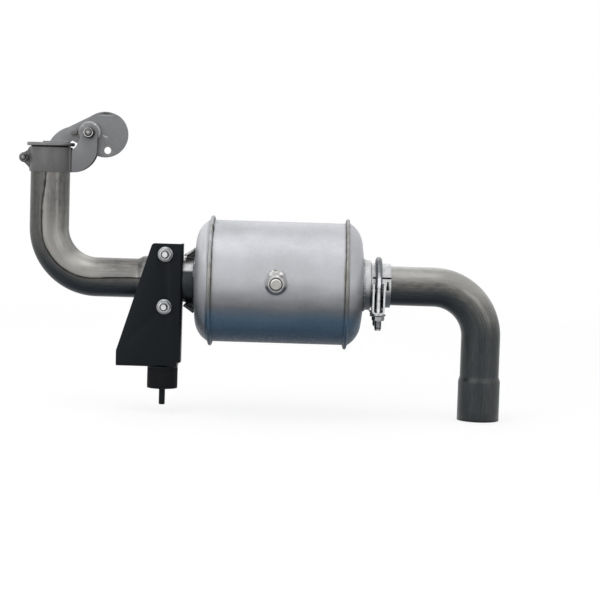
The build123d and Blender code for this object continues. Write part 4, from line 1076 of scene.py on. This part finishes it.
# %% [markdown]
# ## Turned rings, the lid and the rubber
#
# Pieces that come off a lathe are drawn as half sections and spun. Their rims are already round in
# the section, because the pen bends there instead of turning a sharp corner.

# %% Turned pieces
def turned_piece(name, node, axis, edge, bore=0.0, steps=96, finish=None):
    """A ring or disc in a solid's place, its rims rounded, about one of the main axes."""
    low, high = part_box(node)
    middle = (low + high) / 2
    spoke = Y if axis != Y else Z
    half = (high - low).dot(axis) / 2
    outside = (high - low).dot(spoke) / 2
    bm = bmesh.new()
    pen = Pen(bm, middle, spoke, axis, (bore, -half), 0)
    pen.run(outside - bore - edge).bend(90, edge, 5).run(2 * (half - edge))
    pen.bend(90, edge, 5).run(outside - bore - edge)
    if bore:
        pen.heading = radians(270)
        pen.run(2 * half)
    spin_round(bm, middle, axis, steps)
    bmesh.ops.remove_doubles(bm, verts=bm.verts, dist=merge_gap)
    return place(name, bm, node, finish=finish)


turned_piece("inlet_collar_skin", "inlet_collar", X, 0.9 * mm, inlet_neck_radius + weld_gap)
turned_piece("outlet_collar_skin", "outlet_collar", X, 0.9 * mm, outlet_tube_radius + weld_gap)
turned_piece("lid_skin", "lid", Z, 1.2 * mm, finish=arm_paint)
turned_piece("isolator_rubber_skin", "isolator_rubber", Z, 1.0 * mm)

# %% [markdown]
# ## Welds
#
# A weld bead is a rope of melted metal laid in a corner in small steps, so it shows a ripple every
# two millimetres or so. A small ring spun round the joint gives the rope. Its points then move
# in and out from the rope's own middle: a regular wave makes the ripples, and noise keeps them
# from being too regular.

# %% Weld beads
ripple_length = 2.1 * mm
ripple_steps = 6


def weld_bead(name, node, joint_x, ring_radius, rope_radius):
    """A rippled bead round the muffler's axis."""
    centre = Vector((joint_x, 0, muffler.z))
    bm = bmesh.new()
    facing = Z.cross(X).to_track_quat("Z", "Y").to_matrix().to_4x4()
    bmesh.ops.create_circle(
        bm, segments=10, radius=rope_radius,
        matrix=Matrix.Translation(centre + Z * ring_radius) @ facing,
    )
    spin_round(bm, centre, X, int(tau * ring_radius / (ripple_length / ripple_steps)))
    side = X.cross(Z)
    for vert in bm.verts:
        away = vert.co - centre
        angle = atan2(away.dot(side), away.dot(Z))
        middle = centre + (Z * cos(angle) + side * sin(angle)) * ring_radius
        wave = 0.10 * sin(angle * ring_radius * tau / ripple_length)
        rough = 0.22 * noise.noise(vert.co * 700) + 0.25 * noise.noise(vert.co * 160)
        vert.co = middle + (vert.co - middle) * (1 + wave + rough)
    return place(name, bm, like=node)


head_corner = 0.3 * mm
neck_corner = 0.4 * mm
low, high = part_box("inlet_collar")
outlet_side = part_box("outlet_collar")[1]
weld_bead("inlet_head_weld", "inlet_collar", low.x, high.z - muffler.z + head_corner, 1.5 * mm)
weld_bead(
    "outlet_head_weld", "outlet_collar", outlet_side.x,
    outlet_side.z - muffler.z + head_corner, 1.5 * mm,
)
weld_bead("neck_weld", "inlet_collar", high.x, inlet_neck_radius + neck_corner, 0.9 * mm)

# %% [markdown]
# ## Clean-out boss and plug
#
# The boss is a turned bung: a sloping outside, a narrow flat rim and a recess. The plug in it has
# a round, slightly chamfered head. Both are half sections spun about the boss's own axis. The boss
# was welded from above only, so a lump of weld lies between its top and the drum.

# %% Boss, plug and the lump of weld
plug_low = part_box("cleanout_plug")[0]
boss_front = Vector((boss_axis.x, boss_low.y, boss_axis.z))
boss_foot_radius = 13.9 * mm
boss_rim_radius = 10.2 * mm
recess_depth = 3.0 * mm
plug_head_radius = 7.1 * mm
under_head = 2.0 * mm
edge = 0.5 * mm
rim_edge = 0.6 * mm
boss_slope = 58

bm = bmesh.new()
pen = Pen(bm, boss_front, X, -Y, (plug_head_radius - under_head, -recess_depth), 0)
pen.run(recess_radius - plug_head_radius + under_head - edge).bend(90, edge, 4)
pen.run(recess_depth - 2 * edge).bend(-90, edge, 4)
pen.run(boss_rim_radius - recess_radius - edge - rim_edge).bend(-boss_slope, rim_edge, 5)
pen.run((boss_foot_radius - boss_rim_radius) / cos(radians(boss_slope)))
pen.bend(boss_slope - 90, 2 * mm, 4).run(3.4 * mm)
spin_round(bm, boss_front, Y, 96)
place("cleanout_boss_skin", bm, "cleanout_boss", finish=boss_steel)

head_height = boss_low.y + recess_depth - plug_low.y
bm = bmesh.new()
pen = Pen(bm, Vector((boss_axis.x, plug_low.y, boss_axis.z)), X, -Y, (0, 0), 0)
pen.run(plug_head_radius - 1.5 * mm).bend(-62, 1.6 * mm, 6).bend(-28, 0.6 * mm, 3)
pen.run(head_height - 1.5 * mm)
spin_round(bm, boss_front, Y, 64)
bmesh.ops.remove_doubles(bm, verts=bm.verts, dist=merge_gap)
place("cleanout_plug_skin", bm, "cleanout_plug", finish=plug_steel)

bm = bmesh.new()
lump = bmesh.ops.create_icosphere(bm, subdivisions=5, radius=1.0)["verts"]
lump_middle = Vector((boss_axis.x + 0.1 * mm, -81.0 * mm, boss_axis.z + 10.5 * mm))
lump_reach = Vector((10.5, 4.2, 8.5)) * mm
for vert in lump:
    vert.co = vert.co * lump_reach + lump_middle
    bumps = 0.9 * noise.noise(vert.co * 260) + 0.45 * noise.noise(vert.co * 620)
    vert.co += (vert.co - lump_middle).normalized() * bumps * mm
place("boss_weld", bm, like="cleanout_boss", finish=boss_steel)

# %% [markdown]
# ## U-bolts with real threads
#
# A screw thread is a spin that also climbs: one V of the thread is spun round the rod with a
# small step along it each time. Neighbouring turns then share their edges and are merged. At both
# ends the V sinks into the core, as a rolled thread runs out.

# %% Thread helper
thread_pitch = 1.6 * mm
thread_major = 4.75 * mm
thread_minor = 4.05 * mm
thread_sides = 24


def add_thread(bm, start, along, length):
    """Winds a right-hand thread round a line."""
    turns = int(length / thread_pitch) - 1
    side = along.orthogonal().normalized()
    section = [
        bm.verts.new(start + side * radius + along * height)
        for radius, height in (
            (thread_minor, 0), (thread_major, thread_pitch * 0.4),
            (thread_major, thread_pitch * 0.6), (thread_minor, thread_pitch),
        )
    ]
    edges = [bm.edges.new(pair) for pair in zip(section, section[1:])]
    before = set(bm.verts) - set(section)
    bmesh.ops.spin(
        bm, geom=section + edges, cent=start, axis=along, angle=tau * turns,
        steps=thread_sides * turns, dvec=along * thread_pitch / thread_sides,
    )
    wound = [v for v in bm.verts if v not in before]
    bmesh.ops.remove_doubles(bm, verts=wound, dist=merge_gap)
    for vert in (v for v in bm.verts if v not in before):
        height = (vert.co - start).dot(along)
        runout = min(height, (turns + 1) * thread_pitch - height) / thread_pitch
        away = vert.co - start - along * height
        kept = thread_minor * 0.97 + (away.length - thread_minor * 0.97) * min(1, runout / 1.2)
        vert.co = start + along * height + away.normalized() * kept


print("thread helper ready")

# %% [markdown]
# Each U-bolt is one rod: thread, a length turned down for it, then the full rod round the bend and
# back down the other leg. The pipe bender draws all of it, with a small ring and short changes of
# radius, and the threads are wound over its ends.

# %% U-bolts
rod_radius = 4.3 * mm
turned_radius = 3.9 * mm
tip = 1.2 * mm
relief = 0.8 * mm


def u_bolt_skin(name, node, start, heading, turn_axis, leg, threaded, turned_down, half_spread):
    """A U-bolt bent from one rod; its legs are threaded, then turned down for a length."""
    bm = bmesh.new()
    pipe = Pipe(bm, start, heading, turn_axis, thread_minor - tip / 2, sides=24)
    pipe.run(tip, thread_minor).run(threaded - tip).run(relief, turned_radius, 3)
    pipe.run(turned_down).run(relief, rod_radius, 3)
    rod = leg - threaded - turned_down - 2 * relief
    pipe.run(rod).bend(180, half_spread, 40).run(rod)
    pipe.run(relief, turned_radius, 3).run(turned_down).run(relief, thread_minor, 3)
    pipe.run(threaded - tip).run(tip, thread_minor - tip / 2)
    ends = [e for e in bm.edges if e.is_boundary]
    bmesh.ops.holes_fill(bm, edges=ends, sides=0)
    for foot in (start, pipe.centre):
        add_thread(bm, foot + heading * tip / 2, heading, threaded - tip)
    return place(name, bm, node, finish=rod_zinc)


low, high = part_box("inlet_u_bolt")
spread = high.y - thread_major
crown_z = high.z - rod_radius - spread
foot = Vector(((low.x + high.x) / 2, -spread, low.z))
leg = crown_z - low.z
u_bolt_skin("inlet_u_bolt_skin", "inlet_u_bolt", foot, Z, -X, leg, 22 * mm, 33 * mm, spread)

low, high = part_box("bracket_u_bolt")
spread = (high.z - low.z) / 2 - thread_major
foot = Vector(((low.x + high.x) / 2, low.y, muffler.z - spread))
u_bolt_skin("bracket_u_bolt_skin", "bracket_u_bolt", foot, Y, X, -low.y, 22 * mm, 4 * mm, spread)

# %% [markdown]
# ## Self-locking nuts
#
# The hinge and the cap's clamp are held by self-locking nuts. The nut's collar is rolled inward
# over a dark nylon ring, so from the front one sees a bright rounded rim, a dark groove and the
# end of the bolt. The hexagon is a circle of six sides, extruded and softened. The collar and the
# ring are small lathe sections.

# %% Self-locking nuts
hex_share = 0.72
collar_share = 0.92
collar_roll = 0.7 * mm
ring_depth = 0.55 * mm


def lathe_ring(bm, seat, start, *strokes):
    """Draws a closed section and spins it about the bolt, which points at the viewer."""
    section = bmesh.new()
    pen = Pen(section, seat, Z, -Y, start, 90)
    for length, turn, bend in strokes:
        pen.run(length)
        if bend:
            pen.bend(turn, bend, 5)
        else:
            pen.heading += radians(turn)
    spin_round(section, seat, Y, 48)
    bmesh.ops.remove_doubles(section, verts=section.verts, dist=0.01 * mm)
    spun = bpy.data.meshes.new("lathe_ring")
    section.to_mesh(spun)
    section.free()
    bm.from_mesh(spun)
    bpy.data.meshes.remove(spun)


def locking_nut(node, bolt_radius):
    """The nut's skin and its nylon ring, from the box of the solid."""
    low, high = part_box(node)
    seat = Vector(((low.x + high.x) / 2, high.y, (low.z + high.z) / 2))
    flats = high.z - low.z
    height = high.y - low.y
    collar_radius = flats / 2 * collar_share
    collar_foot = height * hex_share - 0.4 * mm
    inner_radius = bolt_radius + 0.65 * mm

    bm = bmesh.new()
    facing = Matrix.Translation(seat) @ Matrix.Rotation(radians(90), 4, "X")
    facing = facing @ Matrix.Rotation(radians(90), 4, "Z")
    bmesh.ops.create_circle(
        bm, segments=6, radius=flats / 3**0.5, cap_ends=True, matrix=facing
    )
    grown = bmesh.ops.extrude_face_region(bm, geom=bm.faces[:])["geom"]
    lifted = [g for g in grown if isinstance(g, bmesh.types.BMVert)]
    bmesh.ops.translate(bm, verts=lifted, vec=-Y * height * hex_share)
    bmesh.ops.bevel(
        bm, geom=bm.edges[:], offset=0.35 * mm, affect="EDGES", segments=2, profile=0.5,
        material=-1,
    )
    wall = height - collar_foot - collar_roll
    rim = collar_radius - inner_radius - 2 * collar_roll
    lathe_ring(
        bm, seat, (collar_radius, collar_foot), (wall, 90, collar_roll),
        (max(rim, 0.05 * mm), 90, collar_roll), (wall, 90, 0), (collar_radius - inner_radius, 0, 0),
    )
    place(node + "_skin", bm, node, finish=nut_zinc)

    bm = bmesh.new()
    ring_top = height - ring_depth
    ring_round = 0.2 * mm
    ring_wall = ring_top - collar_foot - ring_round
    ring_width = inner_radius - bolt_radius + 0.2 * mm
    lathe_ring(
        bm, seat, (inner_radius + 0.1 * mm, collar_foot), (ring_wall, 90, ring_round),
        (ring_width - 2 * ring_round, 90, ring_round), (ring_wall, 90, 0), (ring_width, 0, 0),
    )
    return place(node + "_nylon_ring", bm, like=node, finish=black_rubber)


locking_nut("pivot_nut", 4.0 * mm)
locking_nut("cap_clamp_nut", 3.0 * mm)

# %% [markdown]
# ## Sizes, and the end
#
# The skins' box is compared with the CAD model's box, and how far the skins reach past it, in
# millimetres, is printed. The skins must stay inside the CAD model's box. The CAD mesh draws a
# circle as chords, so a rounder skin may pass it by a few hundredths of a millimetre.

# %% Compare the boxes
seen_low, seen_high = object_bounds()
beyond = [round(v / mm, 2) for v in (*(cad_low - seen_low), *(seen_high - cad_high))]
print("beyond the CAD box, in mm:", beyond)
